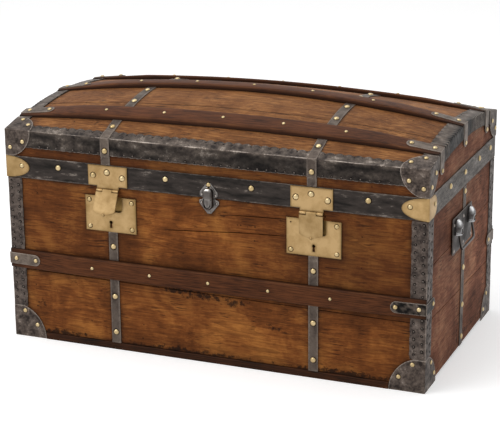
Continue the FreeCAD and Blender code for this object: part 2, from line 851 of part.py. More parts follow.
# End handles
def build_handle():
    plate_x = half_long + s.iron
    plate_face = plate_x + s.lock_thickness
    pivot_x = plate_face + s.pivot_out
    pivot_z = s.handle_z + s.pivot_above
    half_wide = s.handle_plate_width / 2
    half_high = s.handle_plate_height / 2

    plate = new_body("handle_plate_right", (plate_x, s.handle_y, s.handle_z))
    corners = [
        (-half_wide, -half_high), (half_wide, -half_high), (half_wide, half_high), (-half_wide, half_high),
    ]
    blank = pad(plate, "handle_pad", outline(plate, "handle_outline", "YZ_Plane", corners), s.lock_thickness)
    round_corners(
        plate, "handle_corners", blank, s.slat_rounding,
        lambda edge, p: near(abs(p.y), half_wide) and near(abs(p.z), half_high),
    )
    keep(plate)
    keep(mirrored("handle_plate_left", plate, LEFT_RIGHT))

    ears = []
    bail = []
    ear_x = plate_face + s.ear_axis_out
    ear_foot = pivot_z - s.pivot_in_ear
    belly_foot = ear_foot + s.ear_collar_height
    for side, sign in (("near", -1), ("far", 1)):
        ear_y = s.handle_y + s.ear_spacing / 2 * sign
        collar = rod("ear_collar_" + side, "z", s.ear_collar, (ear_x, ear_y, ear_foot), s.ear_collar_height)
        belly = cone("ear_belly_" + side, s.ear_neck, s.ear_radius, (ear_x, ear_y, belly_foot), s.ear_belly)
        crown_place = (ear_x, ear_y, belly_foot + s.ear_belly)
        crown = half_egg("ear_crown_" + side, s.ear_crown, s.ear_radius, crown_place)
        bell = fuse("ear_bell_" + side, collar, belly, crown)
        wide = around(ear_y, s.ear_collar * 4)
        behind = box("ear_behind_" + side, (plate_face - 20, plate_face), wide, around(pivot_z, 100))
        slot = box(
            "ear_slot_" + side, (plate_face + 1.5, plate_face + 20),
            around(ear_y, s.ear_slot), (ear_foot - 5, pivot_z + s.bail_radius + 1.4),
        )
        bore_length = s.trunnion_length + 0.8
        bore_start = (pivot_x, ear_y - bore_length / 2, pivot_z)
        bore = rod("ear_bore_" + side, "y", s.trunnion + s.running_gap, bore_start, bore_length)
        ears.append(cut("ear_" + side, bell, behind, slot, bore))

        leg_start = (pivot_x, ear_y, pivot_z - s.bail_drop + s.bail_bend)
        bail.append(rod("bail_leg_" + side, "z", s.bail_radius, leg_start, s.bail_drop - s.bail_bend))
        bail.append(ball("bail_top_" + side, s.bail_radius, (pivot_x, ear_y, pivot_z)))
        pin_start = (pivot_x, ear_y - s.trunnion_length / 2, pivot_z)
        bail.append(rod("bail_pin_" + side, "y", s.trunnion, pin_start, s.trunnion_length))
        bend_centre = (pivot_x, ear_y - s.bail_bend * sign, leg_start[2])
        turn = 0 if sign > 0 else -90
        bail.append(elbow("bail_bend_" + side, s.bail_bend, s.bail_radius, bend_centre, turn))
    grip_length = s.ear_spacing - s.bail_bend * 2
    grip_start = (pivot_x, s.handle_y - grip_length / 2, pivot_z - s.bail_drop)
    bail.append(rod("bail_grip", "y", s.bail_radius, grip_start, grip_length))
    ears_left = [mirrored("left_" + ear.Name, ear, LEFT_RIGHT) for ear in ears]
    keep(group("handle_ears", *ears, *ears_left))
    handle = keep(fuse("handle_right", *bail))
    lean = Rotation(Vector(0, -1, 0), float(s.bail_lean))
    handle.Placement = Placement(Vector(), lean, Vector(float(pivot_x), 0, float(pivot_z)))
    keep(mirrored("handle_left", handle, LEFT_RIGHT))


# Back hinges, one on each side of the middle
hinge_axis_y = back + s.hinge_out


def build_hinges():
    place = s.hinge_x
    gap = 0.5
    ends = (place - s.hinge_width / 2, place + s.hinge_width / 2)
    inner = (place - s.knuckle_width / 2, place + s.knuckle_width / 2)
    bore_start = (ends[0], hinge_axis_y, s.seam_height)
    bore_radius = s.hinge_pin + s.running_gap

    leaf_y = (back, back + s.hinge_thickness)
    leaf_z = (s.seam_height - s.knuckle - s.hinge_leaf, s.seam_height - 2)
    pieces = [box("box_leaf", ends, leaf_y, leaf_z)]
    for side, (low, high) in (("a", (ends[0], inner[0] - gap)), ("b", (inner[1] + gap, ends[1]))):
        web_z = (s.seam_height - s.knuckle, s.seam_height)
        pieces.append(box("box_web_" + side, (low, high), (back, hinge_axis_y), web_z))
        start = (low, hinge_axis_y, s.seam_height)
        pieces.append(rod("box_knuckle_" + side, "x", s.knuckle, start, high - low))
    bore = rod("box_hinge_bore", "x", bore_radius, bore_start, s.hinge_width)
    right = cut("box_hinge_right", fuse("box_hinge_blank", *pieces), bore)
    keep(group("body_hinge_leaves", right, mirrored("box_hinge_left", right, LEFT_RIGHT)))

    leaf_y = (back + s.iron, back + s.iron + s.hinge_thickness)
    leaf_floor = s.seam_height + s.knuckle + 1
    plate = box("lid_leaf", ends, leaf_y, (leaf_floor, leaf_floor + s.hinge_leaf))
    web = box("lid_web", inner, (back + s.iron, hinge_axis_y), (lid_base, leaf_floor + 1))
    knuckle = rod("lid_knuckle", "x", s.knuckle, (inner[0], hinge_axis_y, s.seam_height), s.knuckle_width)
    bore = rod("lid_hinge_bore", "x", bore_radius, bore_start, s.hinge_width)
    right = cut("lid_hinge_right", fuse("lid_hinge_blank", plate, web, knuckle), bore)
    keep(group("lid_hinge_leaves", right, mirrored("lid_hinge_left", right, LEFT_RIGHT)))

    pin = rod("hinge_pin_right", "x", s.hinge_pin, bore_start, s.hinge_width)
    keep(group("hinge_pins", pin, mirrored("hinge_pin_left", pin, LEFT_RIGHT)))


# Lid woodwork
def build_lid_wood():
    wall_z = (lid_base, lid_edge - s.dome_board - 0.2)
    keep(box("lid_front_wall", spread(half_long), (front, front + s.wall), wall_z))
    keep(box("lid_back_wall", spread(half_long), (back - s.wall, back), wall_z))
    inside_y = spread(half_deep - s.wall)
    under_boards = -s.dome_board - 0.1
    right = dome_block((half_long - s.wall, half_long), inside_y, under_boards, lid_base)
    keep(solid("lid_right_wall", right))
    keep(solid("lid_left_wall", flipped(right, LEFT_RIGHT)))

    joint = half_deep - s.outer_board_width
    seams = (front, -joint, 0, joint, back)
    # each board is in three lengths, which butt together under the straps
    butts = (-half_long, s.lid_strap_left, s.lid_strap_right, half_long)
    for number, board_y in enumerate(zip(seams, seams[1:]), start=1):
        lengths = [dome_slab(x, board_y, -s.dome_board, s.dome_board) for x in zip(butts, butts[1:])]
        keep(solid("dome_board_%d" % number, Part.makeCompound(lengths)))

    reach = half_long + s.iron
    thinned = SLAT_END.extrude(Vector(0, 0, -HIGH))
    for name, place in (("front", -s.dome_slat_y), ("middle", 0), ("back", s.dome_slat_y)):
        slat_y = span(around(as_size(place), s.slat_width))
        blank = dome_slab(spread(reach), slat_y, s.iron, s.slat_thickness)
        high = dome_height(0, float(as_size(place)))
        slat = fillet_edges(
            blank, s.slat_rounding,
            lambda p: near(p.x, 0) and min(abs(p.y - y) for y in slat_y) < 0.01 and p.z > high,
        )
        keep(solid("dome_slat_" + name, slat.common(thinned).common(flipped(thinned, LEFT_RIGHT)).Solids[0]))


# Lid iron
def build_lid_straps():
    edge_y = front + s.binding_top
    step_y = edge_y + 2
    for side, place in (("left", s.lid_strap_left), ("right", s.lid_strap_right)):
        strap_x = around(place, s.strap_width)
        drop_y = (band_face - s.iron, band_face)
        half = [
            dome_slab(strap_x, (drop_y[0], edge_y), s.iron, s.iron),
            dome_slab(strap_x, (edge_y, step_y), 0, s.iron * 2),
            plain_block(strap_x, drop_y, (lid_edge - s.binding_front - 1.5, lid_edge + 1)),
            plain_block(strap_x, (band_face, front), (band_top, lid_edge - s.binding_front)),
        ]
        other_half = [flipped(shape, FRONT_BACK) for shape in half]
        crown = dome_slab(strap_x, spread(step_y), 0, s.iron)
        keep(solid("dome_strap_" + side, joined(crown, *half, *other_half)))


def build_lid_bindings():
    edge_y = front + s.binding_top
    floor = lid_edge - s.binding_front
    outer = dome_block(spread(half_long), (band_face, edge_y), s.iron, floor)
    outer = fillet_edges(
        outer, s.fold_radius,
        lambda p: near(p.y, band_face) and near(p.x, 0) and p.z > float(floor) + 1,
    )
    wood = dome_block(spread(half_long + 5), (front, edge_y + 5), 0, floor - 5)
    binding = outer.cut(wood).Solids[0]
    keep(solid("binding_front", binding))
    keep(solid("binding_back", flipped(binding, FRONT_BACK)))

    end_x = (half_long, half_long + s.iron)
    top_x = (half_long - s.end_binding_top, half_long + s.iron)
    top = dome_slab(top_x, spread(edge_y), 0, s.iron)
    drop = dome_slab(end_x, spread(half_deep), -s.end_binding_drop, s.end_binding_drop + s.iron)
    binding = joined(top, drop)
    keep(solid("binding_right", binding))
    keep(solid("binding_left", flipped(binding, LEFT_RIGHT)))


def build_lid_caps():
    """Pressed corner caps over the bindings, each bounded by a sphere round the lid's corner."""
    reach = s.lid_cap_radius + 10
    proud = s.iron * 2
    floor = band_top + s.seam_gap
    face_x = half_long + proud
    face_y = front - proud
    outer = dome_block((half_long - reach, face_x), (face_y, front + reach), proud, floor)
    folds = fillet_edges(
        outer, s.fold_radius,
        lambda p: near(p.x, face_x) + near(p.y, face_y) + (p.z > float(lid_edge)) >= 2,
    )
    core = dome_block(
        (half_long - reach - 5, half_long + s.iron), (front - s.iron, front + reach + 5), s.iron, floor - 5,
    )
    corner = Vector(float(half_long), float(front), float(lid_edge))
    bound = Part.makeSphere(float(s.lid_cap_radius), corner)
    right = folds.cut(core).common(bound).Solids[0]
    left = flipped(right, LEFT_RIGHT)
    fronts = keep(solid("lid_caps_front", Part.makeCompound([left, right])))
    keep(solid("lid_caps_back", flipped(fronts.Shape, FRONT_BACK)))


def oval_plate(half_width, half_height, place, thickness):
    """An upright oval sheet that faces the front."""
    rim = Part.Ellipse(Vector(), float(half_width), float(half_height)).toShape()
    plate = Part.Face(Part.Wire(rim)).extrude(Vector(0, 0, float(thickness)))
    plate.Placement = Placement(Vector(*map(float, place)), TURN_TO["y"])
    return plate


def build_band():
    band_z = (lid_base, band_top)
    outer = box("band_outer", spread(half_long + s.iron), spread(half_deep + s.iron), band_z)
    inner = box("band_inner", spread(half_long), spread(half_deep), (lid_base - 5, band_top + 5))
    keep(cut("lid_band", outer, inner))

    proud = s.iron * 2
    reach = s.brass_length + 20
    nose = s.band_height / 2
    shell = box(
        "brass_outer", (half_long - reach, half_long + proud), (front - proud, front + reach), band_z,
    )
    shell = rounded(
        "brass_folded", shell, s.fold_radius,
        lambda p: near(p.x, half_long + proud) and near(p.y, front - proud),
    )
    core = box(
        "brass_core", (half_long - reach - 5, half_long + s.iron), (front - s.iron, front + reach + 5),
        (lid_base - 5, band_top + 5),
    )
    shell = cut("brass_shell", shell, core)
    flat = s.brass_length - nose
    level = lid_base + nose
    front_nose = solid("brass_nose", oval_plate(s.brass_front, nose, (half_long, front - 10, level), 10))
    end_flat = box("brass_end", (half_long, half_long + 10), (front - 10, front + flat), band_z)
    end_nose = rod("brass_end_nose", "x", nose, (half_long, front + flat, level), 10)
    bound = fuse("brass_bound", front_nose, end_flat, end_nose)
    right = common("brass_front_right", shell, bound)
    left = mirrored("brass_front_left", right, LEFT_RIGHT)
    keep(group("band_corners", left, right))


def build_lid_clips():
    half_clip = float(s.clip_width) / 2
    reach = float(half_long + s.iron)
    iron = float(s.iron)
    tip = reach + iron
    start = tip - float(s.clip_length)
    layer = SLAT_END.extrude(Vector(0, 0, iron))
    under = SLAT_END.translated(Vector(0, 0, iron)).extrude(Vector(0, 0, -HIGH))
    clips = []
    for place in (-s.dome_slat_y, 0, s.dome_slat_y):
        middle_y = float(as_size(place))
        clip_y = (middle_y - half_clip, middle_y + half_clip)
        strip = plain_block((start + half_clip, tip), clip_y, (0, HIGH))
        round_end = Part.makeCylinder(half_clip, HIGH, Vector(start + half_clip, middle_y, 0))
        top = layer.common(strip.fuse(round_end))
        low = dome_height(float(half_long), middle_y) - float(s.lid_clip_drop) + half_clip
        drop = under.common(plain_block((reach, tip), clip_y, (low, HIGH)))
        foot = Part.makeCylinder(half_clip, iron, Vector(reach, middle_y, low), TO_RIGHT)
        clip = joined(top, drop, foot)
        clips.append(clip)
        clips.append(flipped(clip, LEFT_RIGHT))
    keep(solid("lid_slat_clips", Part.makeCompound(clips)))


# Heads of tacks, rivets and pins: caps of a sphere, flat where they sit
def head(radius, height):
    wide, high = float(radius), float(height)
    sphere = (wide * wide + high * high) / (2 * high)
    base_angle = math.degrees(math.asin((sphere - high) / sphere))
    return Part.makeSphere(sphere, Vector(0, 0, high - sphere), Vector(0, 0, 1), base_angle, 90, 360)


TACK = head(s.tack_radius, s.tack_height)
RIVET = head(s.rivet_radius, s.rivet_height)
PIN_HEAD = head(s.pin_head_radius, s.pin_head_height)
NAIL_HEAD = head(s.nail_head_radius, s.nail_head_height)
SEAT = 0.02


def set_head(kind, point, normal):
    shape = kind.copy()
    place = Vector(*[float(as_size(value)) for value in point]) + normal * SEAT
    shape.Placement = Placement(place, Rotation(Vector(0, 0, 1), normal))
    return shape


def on_front(kind, places, level):
    return [set_head(kind, (x, level, z), TO_FRONT) for x, z in places]


def on_right(kind, places, level):
    return [set_head(kind, (level, y, z), TO_RIGHT) for y, z in places]


def on_law(kind, places, law, lift):
    """Heads on a surface that a height law gives, raised by what lies on it."""
    heads = []
    for x, y in places:
        point = (x, y, law(float(x), float(y)) + float(as_size(lift)))
        heads.append(set_head(kind, point, normal_of(law, float(x), float(y))))
    return heads


def with_mirror(shapes, normal):
    return shapes + [flipped(shape, normal) for shape in shapes]


# Where the heads sit: heights from the floor, or steps in from an edge of what they hold
STRAP_TACKS_Z = (34.5, 104.7, 202)
END_STRAP_TACKS_Z = (23, 86, 159, 305)
SLAT_PINS_X = (-233, -116, 0, 116, 233)
CLIP_RIVETS_IN = (14, 56)
CLIP_END_RIVET_IN = 33
BASE_CAP_FRONT = ((22, 52), (47, 26))
BASE_CAP_END = ((33, 47), (53, 20))
LOCK_CORNER_IN = 8.3
HANDLE_COLUMNS = (-57, 5, 57)
HANDLE_ROWS = (-27, 22)
CUP_PINS = ((-14.5, 19.5), (14.5, 19.5), (0, 3))
HOOD_PINS = ((-13, 5.5), (13, 5.5))
HOOD_RIVET_DOWN = 3.5
BAND_TACKS_X = (-299, -83, 83, 299)
BACK_BAND_TACKS_X = (-160, -55, 55, 160)
END_BAND_TACKS_Y = (-90, 8, 106, 186)
BAND_TACKS_UP = 26
BRASS_RIVET_IN = 31
BRASS_RIVET_UP = 23.5
LID_CAP_FRONT = ((34, -20), (8, -32))
LID_CAP_END = ((33, -12), (9, -31))
LID_CAP_TOP = ((37, 17), (16, 36))
HASP_PLATE_TACKS = ((-29, 20), (-1, 27.5), (29.5, 19))
LID_STRAP_TACK_DOWN = 22
DOME_TACKS_Y = (-190, -97, -39, 39, 97, 190)
LID_CLIP_RIVET_UP = 7


def body_heads():
    strap_face = front - s.iron
    heads = []
    for place in (s.strap_left, s.strap_right):
        heads += on_front(TACK, [(place, z) for z in STRAP_TACKS_Z], strap_face)
    back_places = [(s.back_strap, z) for z in STRAP_TACKS_Z]
    on_back = [flipped(shape, FRONT_BACK) for shape in on_front(TACK, back_places, strap_face)]
    heads += with_mirror(on_back, LEFT_RIGHT)

    end_face = half_long + s.iron
    clip_end = [(front + CLIP_END_RIVET_IN, s.slat_height)]
    cap_end = [(front + y, z) for y, z in BASE_CAP_END]
    plate_places = [(s.handle_y + y, s.handle_z + z) for y in HANDLE_COLUMNS for z in HANDLE_ROWS]
    on_end = on_right(TACK, [(s.end_strap_y, z) for z in END_STRAP_TACKS_Z], end_face)
    on_end += with_mirror(on_right(RIVET, clip_end, end_face + s.iron), FRONT_BACK)
    on_end += with_mirror(on_right(RIVET, cap_end, end_face), FRONT_BACK)
    on_end += on_right(PIN_HEAD, plate_places, end_face + s.lock_thickness)
    heads += with_mirror(on_end, LEFT_RIGHT)

    slat_heads = on_front(PIN_HEAD, [(x, s.slat_height) for x in SLAT_PINS_X], slat_face)
    heads += with_mirror(slat_heads, FRONT_BACK)
    clip_tip = half_long + s.iron * 2
    clip_normal = Vector(slat_out(0) - slat_out(1), -1, 0).normalize()
    corner = on_front(RIVET, [(half_long - x, z) for x, z in BASE_CAP_FRONT], strap_face)
    for x in CLIP_RIVETS_IN:
        place = clip_tip - x
        face = strap_face - slat_out(float(place)) - s.iron
        corner.append(set_head(RIVET, (place, face, s.slat_height), clip_normal))
    heads += with_mirror(with_mirror(corner, LEFT_RIGHT), FRONT_BACK)

    lock_face = front - s.lock_thickness
    out = s.lock_width / 2 - LOCK_CORNER_IN
    low = s.lock_bottom + LOCK_CORNER_IN
    high = s.lock_bottom + s.lock_height - LOCK_CORNER_IN
    left_corners = [(s.lock_left + x, z) for x in (-out, out) for z in (low, high)]
    right_corners = [(s.lock_right - out, low), (s.lock_right + out, low), (s.lock_right + out, high)]
    heads += on_front(RIVET, left_corners + right_corners, lock_face)

    cup_foot = s.seam_height - s.seam_gap - s.dowel_plate_height
    cup_places = [(s.dowel_x + x, cup_foot + z) for x, z in CUP_PINS]
    heads += on_front(NAIL_HEAD, cup_places, strap_face)
    return heads


def band_heads():
    tack_z = lid_base + BAND_TACKS_UP
    heads = on_front(TACK, [(x, tack_z) for x in BAND_TACKS_X], band_face)
    on_back = on_front(TACK, [(x, tack_z) for x in BACK_BAND_TACKS_X], band_face)
    heads += [flipped(shape, FRONT_BACK) for shape in on_back]
    on_end = on_right(TACK, [(y, tack_z) for y in END_BAND_TACKS_Y], half_long + s.iron)
    heads += with_mirror(on_end, LEFT_RIGHT)
    for lock in (s.lock_left, s.lock_right):
        place = lock + s.hasp_shift
        spots = [(place + x, lid_base + z) for x, z in HASP_PLATE_TACKS]
        heads += on_front(TACK, spots, band_face - s.hasp_thickness)
    hood_face = band_face - s.iron
    hood_rivet = (s.dowel_x, lid_base + s.dowel_plate_height - HOOD_RIVET_DOWN)
    heads += on_front(RIVET, [hood_rivet], hood_face)
    heads += on_front(NAIL_HEAD, [(s.dowel_x + x, lid_base + z) for x, z in HOOD_PINS], hood_face)
    return heads


def lid_corner_heads():
    proud = s.iron * 2
    brass_z = lid_base + BRASS_RIVET_UP
    front_face = front - proud
    end_face = half_long + proud
    brass = on_front(RIVET, [(half_long - BRASS_RIVET_IN, brass_z)], front_face)
    brass += on_right(RIVET, [(front + BRASS_RIVET_IN, brass_z)], end_face)
    cap = on_front(RIVET, [(half_long - x, lid_edge + z) for x, z in LID_CAP_FRONT], front_face)
    cap += on_right(RIVET, [(front + y, lid_edge + z) for y, z in LID_CAP_END], end_face)
    cap += on_law(RIVET, [(half_long - x, front + y) for x, y in LID_CAP_TOP], dome_height, proud)
    return with_mirror(brass + with_mirror(cap, FRONT_BACK), LEFT_RIGHT)


def dome_heads():
    heads = []
    for place in (s.lid_strap_left, s.lid_strap_right):
        on_fold = on_front(TACK, [(place, lid_edge - LID_STRAP_TACK_DOWN)], front - s.iron * 2)
        heads += with_mirror(on_fold, FRONT_BACK)
        heads += on_law(TACK, [(place, y) for y in DOME_TACKS_Y], dome_height, s.iron)
    slat_lift = s.iron + s.slat_thickness
    clip_tip = half_long + s.iron * 2
    for place in (-s.dome_slat_y, as_size(0), s.dome_slat_y):
        heads += on_law(PIN_HEAD, [(x, place) for x in SLAT_PINS_X], dome_height, slat_lift)
        clip = on_law(RIVET, [(clip_tip - x, place) for x in CLIP_RIVETS_IN], slat_end_height, s.iron)
        clip_foot = dome_height(float(half_long), float(place)) - float(s.lid_clip_drop)
        clip += on_right(RIVET, [(place, clip_foot + LID_CLIP_RIVET_UP)], clip_tip)
        heads += with_mirror(clip, LEFT_RIGHT)
    return heads


def build_heads():
    keep(solid("body_tacks", Part.makeCompound(body_heads())))
    lid_heads = band_heads() + lid_corner_heads() + dome_heads()
    keep(solid("lid_tacks", Part.makeCompound(lid_heads)))


def write_parts():
    doc.recompute()
    broken = [item.Name for item in doc.Objects if {"Invalid", "Error"} & set(item.State)]
    if broken:
        raise RuntimeError("failed objects: " + ", ".join(broken))
    for piece in parts:
        shape = piece.Shape
        if shape.isNull() or not shape.isValid() or not shape.Solids:
            raise RuntimeError("bad shape: " + piece.Label)
    os.makedirs("parts", exist_ok=True)
    for piece in parts:
        piece.Shape.exportStep("parts/%s.step" % piece.Label)
    print("%d sub-parts, %d solids" % (len(parts), sum(len(piece.Shape.Solids) for piece in parts)))


build_box()
build_box_iron()
build_box_slats()
build_locks()
build_dowel()
build_handle()
build_hinges()
build_lid_wood()
build_lid_straps()
build_lid_bindings()
build_lid_caps()
build_band()
build_lid_clips()
build_heads()
write_parts()
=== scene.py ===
# %% [markdown]
# # A dome top trunk
# The trunk is a pine box bound in sheet iron, under a lid that bows both ways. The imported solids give
# every piece its place and its size. This lesson gives them their surfaces: boards with seams and splits,
# hammered iron, worn slats, satin brass and a few hundred nails. Everything is in metres, in the solids'
# own frame.

# %% Load the frame
import json
import math

import bmesh
import bpy
import numpy as np
from mathutils import Matrix, Vector, bvhtree, kdtree, noise


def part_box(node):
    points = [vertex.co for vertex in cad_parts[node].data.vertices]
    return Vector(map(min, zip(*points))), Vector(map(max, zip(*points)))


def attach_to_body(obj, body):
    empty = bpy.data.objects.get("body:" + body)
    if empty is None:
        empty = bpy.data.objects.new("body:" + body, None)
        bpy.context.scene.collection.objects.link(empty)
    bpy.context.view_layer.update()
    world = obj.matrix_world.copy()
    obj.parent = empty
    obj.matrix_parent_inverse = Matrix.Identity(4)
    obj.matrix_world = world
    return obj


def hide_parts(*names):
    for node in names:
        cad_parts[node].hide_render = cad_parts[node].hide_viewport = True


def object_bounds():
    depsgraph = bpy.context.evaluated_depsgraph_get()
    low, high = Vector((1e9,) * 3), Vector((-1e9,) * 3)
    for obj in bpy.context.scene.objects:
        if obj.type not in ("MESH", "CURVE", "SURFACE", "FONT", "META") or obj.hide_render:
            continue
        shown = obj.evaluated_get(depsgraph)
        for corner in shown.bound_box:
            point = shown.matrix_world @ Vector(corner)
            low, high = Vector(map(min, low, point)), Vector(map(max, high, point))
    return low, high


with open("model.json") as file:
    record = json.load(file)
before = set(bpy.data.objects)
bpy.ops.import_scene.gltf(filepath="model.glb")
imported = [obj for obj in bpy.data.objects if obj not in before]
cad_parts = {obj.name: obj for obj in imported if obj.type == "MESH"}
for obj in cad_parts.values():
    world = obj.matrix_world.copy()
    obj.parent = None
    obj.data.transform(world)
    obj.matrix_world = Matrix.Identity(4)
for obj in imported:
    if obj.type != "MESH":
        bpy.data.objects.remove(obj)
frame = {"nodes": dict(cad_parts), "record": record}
cad_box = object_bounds()
nodes = frame["nodes"]
BODY = {
    node: body
    for body, members in frame["record"]["behaviour"]["bodies"].items()
    for node in members
}

# %% [markdown]
# The sizes that the dressing needs are read from the solids, so that the two can't drift apart. The dome
# follows a square law across the lid, and its rise follows a square law along the lid. Three heights fix
# it: the lid's edge, the crown in the middle and the crown at the ends.

# %% Sizes from the solids
MM = 0.001
TINY = 0.01 * MM
front_low, front_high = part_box("front_wall")
HALF_LONG = front_high.x
HALF_DEEP = -front_low.y
WALL = front_high.y - front_low.y
SEAM = front_high.z
IRON = front_low.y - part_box("front_straps")[0].y
TRUNK_MIDDLE = np.array([0, 0, 250 * MM])


def points_of(mesh):
    flat = np.empty(len(mesh.vertices) * 3, np.float32)
    mesh.vertices.foreach_get("co", flat)
    return flat.reshape(-1, 3).astype(float)


def node_points(name):
    return points_of(nodes[name].data)


edge_board = node_points("dome_board_1")
crown_board = node_points("dome_board_2")
LID_EDGE = edge_board[edge_board[:, 1] < TINY - HALF_DEEP, 2].max()
MIDDLE_RISE = crown_board[:, 2].max() - LID_EDGE
END_RISE = crown_board[crown_board[:, 0] > HALF_LONG - TINY, 2].max() - LID_EDGE


def dome(x, y):
    """Height of the boards' upper face."""
    rise = END_RISE + (MIDDLE_RISE - END_RISE) * (1 - (x / HALF_LONG) ** 2)
    return LID_EDGE + rise * (1 - (y / HALF_DEEP) ** 2)


print("dome: edge %.1f mm, rise %.1f to %.1f mm" % (LID_EDGE / MM, END_RISE / MM, MIDDLE_RISE / MM))

# %% [markdown]
# Most of the trunk is sheets: boards, bindings and edgings. A sheet is two matching grids of points, an
# outer and an inner one, with walls between their rims, so it is closed and keeps its thickness. Marks
# are numbers kept at each point, such as how close it is to an edge. The materials read them.


# %% Making a piece
def closed_sheet(outer, inner):
    """Points and faces of a sheet with thickness."""
    rows, columns = outer.shape[:2]
    count = rows * columns
    points = np.concatenate([outer.reshape(-1, 3), inner.reshape(-1, 3)])
    index = np.arange(count).reshape(rows, columns)
    corners = (index[:-1, :-1], index[:-1, 1:], index[1:, 1:], index[1:, :-1])
    upper = np.stack(corners, -1).reshape(-1, 4)
    rim = np.concatenate([index[0, :-1], index[:-1, -1], index[-1, :0:-1], index[:0:-1, 0]])
    following = np.roll(rim, -1)
    walls = np.stack([following, rim, rim + count, following + count], -1)
    return points, np.concatenate([upper, upper[:, ::-1] + count, walls])


def facing_out(points, faces):
    """The faces, turned round if they enclose the shape inside out."""
    a, b, c, d = (points[faces[:, i]] for i in range(4))
    volume = (a * np.cross(b, c)).sum() + (a * np.cross(c, d)).sum()
    return faces if volume > 0 else faces[:, ::-1]


def mark(mesh, **marks):
    for name, values in marks.items():
        attribute = mesh.attributes.get(name) or mesh.attributes.new(name, "FLOAT", "POINT")
        attribute.data.foreach_set("value", np.ravel(values).astype(np.float32))


SHARP = math.radians(38)


def smooth(mesh, sharp=SHARP):
    mesh.polygons.foreach_set("use_smooth", [True] * len(mesh.polygons))
    mesh.set_sharp_from_angle(angle=sharp)


def add_object(name, data):
    made = bpy.data.objects.new(name, data)
    bpy.context.scene.collection.objects.link(made)
    return made


def show(name, mesh, material):
    mesh.materials.clear()
    mesh.materials.append(material)
    return add_object(name, mesh)


def mesh_of(work, name):
    """A plain mesh from a working mesh, which is then freed."""
    mesh = bpy.data.meshes.new(name)
    work.to_mesh(mesh)
    work.free()
    return mesh


def settle(piece):
    """Turns what the modifiers make into the piece's own plain mesh."""
    graph = bpy.context.evaluated_depsgraph_get()
    mesh = bpy.data.meshes.new_from_object(
        piece.evaluated_get(graph), preserve_all_data_layers=True, depsgraph=graph)
    piece.modifiers.clear()
    piece.data = mesh


def attach(piece, *stands_for):
    """The piece moves with the body of its nodes, hides them and stays in the box of the solids."""
    inside_box = np.clip(points_of(piece.data), np.array(cad_box[0]), np.array(cad_box[1]))
    piece.data.vertices.foreach_set("co", inside_box.ravel())
    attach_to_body(piece, BODY[stands_for[0]])
    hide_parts(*stands_for)


def on_both(values):
    """Marks that a sheet has on its outer points, and again on its inner ones."""
    return np.tile(values.ravel(), 2)


def on_outside(values):
    """Marks that only the outer points of a sheet have."""
    return np.concatenate([values.ravel(), np.zeros(values.size)])


def sheet_piece(name, material, *sheets):
    """One piece of one or more sheets. Each is given as its outer grid, its inner grid and its marks."""
    points, faces, marks = [], [], {}
    count = 0
    for outer, inner, sheet_marks in sheets:
        sheet_points, sheet_faces = closed_sheet(outer, inner)
        points.append(sheet_points)
        faces.append(facing_out(sheet_points, sheet_faces) + count)
        count += len(sheet_points)
        for kind, values in sheet_marks.items():
            marks.setdefault(kind, []).append(values)
    mesh = bpy.data.meshes.new(name)
    mesh.from_pydata(np.concatenate(points), [], np.concatenate(faces))
    mark(mesh, **{kind: np.concatenate(values) for kind, values in marks.items()})
    smooth(mesh)
    return show(name, mesh, material)


# %% [markdown]
# Old boards and hand-hammered iron are never quite flat. A lattice of fixed random heights, blended
# smoothly, gives a bumpy surface that is the same on each run. Sizes go in as real lengths, so a dent is
# as wide as it says.


# %% Bumps and dents
LATTICE = 61


def bumps(u, v, size, seed):
    """Smooth random heights from -1 to 1 over a surface, about one bump for each size."""
    heights = np.random.default_rng(seed).uniform(-1, 1, (LATTICE, LATTICE))
    u, v = np.broadcast_arrays(u / size, v / size)
    column, row = np.floor(u).astype(int), np.floor(v).astype(int)
    right, up = u - column, v - row
    right, up = right * right * (3 - 2 * right), up * up * (3 - 2 * up)

    def pick(i, j):
        return heights[(column + i) % LATTICE, (row + j) % LATTICE]

    low = pick(0, 0) * (1 - right) + pick(1, 0) * right
    high = pick(0, 1) * (1 - right) + pick(1, 1) * right
    return low * (1 - up) + high * up


def outward(grid):
    """Unit normals of a grid of surface points, away from the middle of the trunk."""
    normal = np.cross(np.gradient(grid, axis=0), np.gradient(grid, axis=1))
    normal /= np.linalg.norm(normal, axis=2, keepdims=True)
    return normal * np.sign(((grid - TRUNK_MIDDLE) * normal).sum(axis=2, keepdims=True))


# %% [markdown]
# A node of the solids may hold several separate pieces, such as the edgings of two corners. Welding a
# copy of its mesh and walking along its edges finds them again. A search tree over everything that lies
# on the wood gives the distance from any point to the nearest iron, where dirt has gathered and where
# painted contact shade darkens the wood.


# %% The separate pieces of a node
WELD = 0.001 * MM


def welded(name):
    work = bmesh.new()
    work.from_mesh(nodes[name].data)
    bmesh.ops.remove_doubles(work, verts=work.verts, dist=WELD)
    return work


def islands(work):
    """The faces of each separate piece of a welded mesh."""
    left = dict.fromkeys(work.faces)
    found = []
    while left:
        island = [left.popitem()[0]]
        for face in island:
            neighbours = (other for edge in face.edges for other in edge.link_faces)
            touching = [other for other in dict.fromkeys(neighbours) if other in left]
            for other in touching:
                del left[other]
            island += touching
        found.append(island)
    return found


def piece_boxes(name):
    boxes = []
    work = welded(name)
    for island in islands(work):
        points = np.array([vert.co for face in island for vert in face.verts])
        boxes.append((points.min(axis=0), points.max(axis=0)))
    work.free()
    return boxes


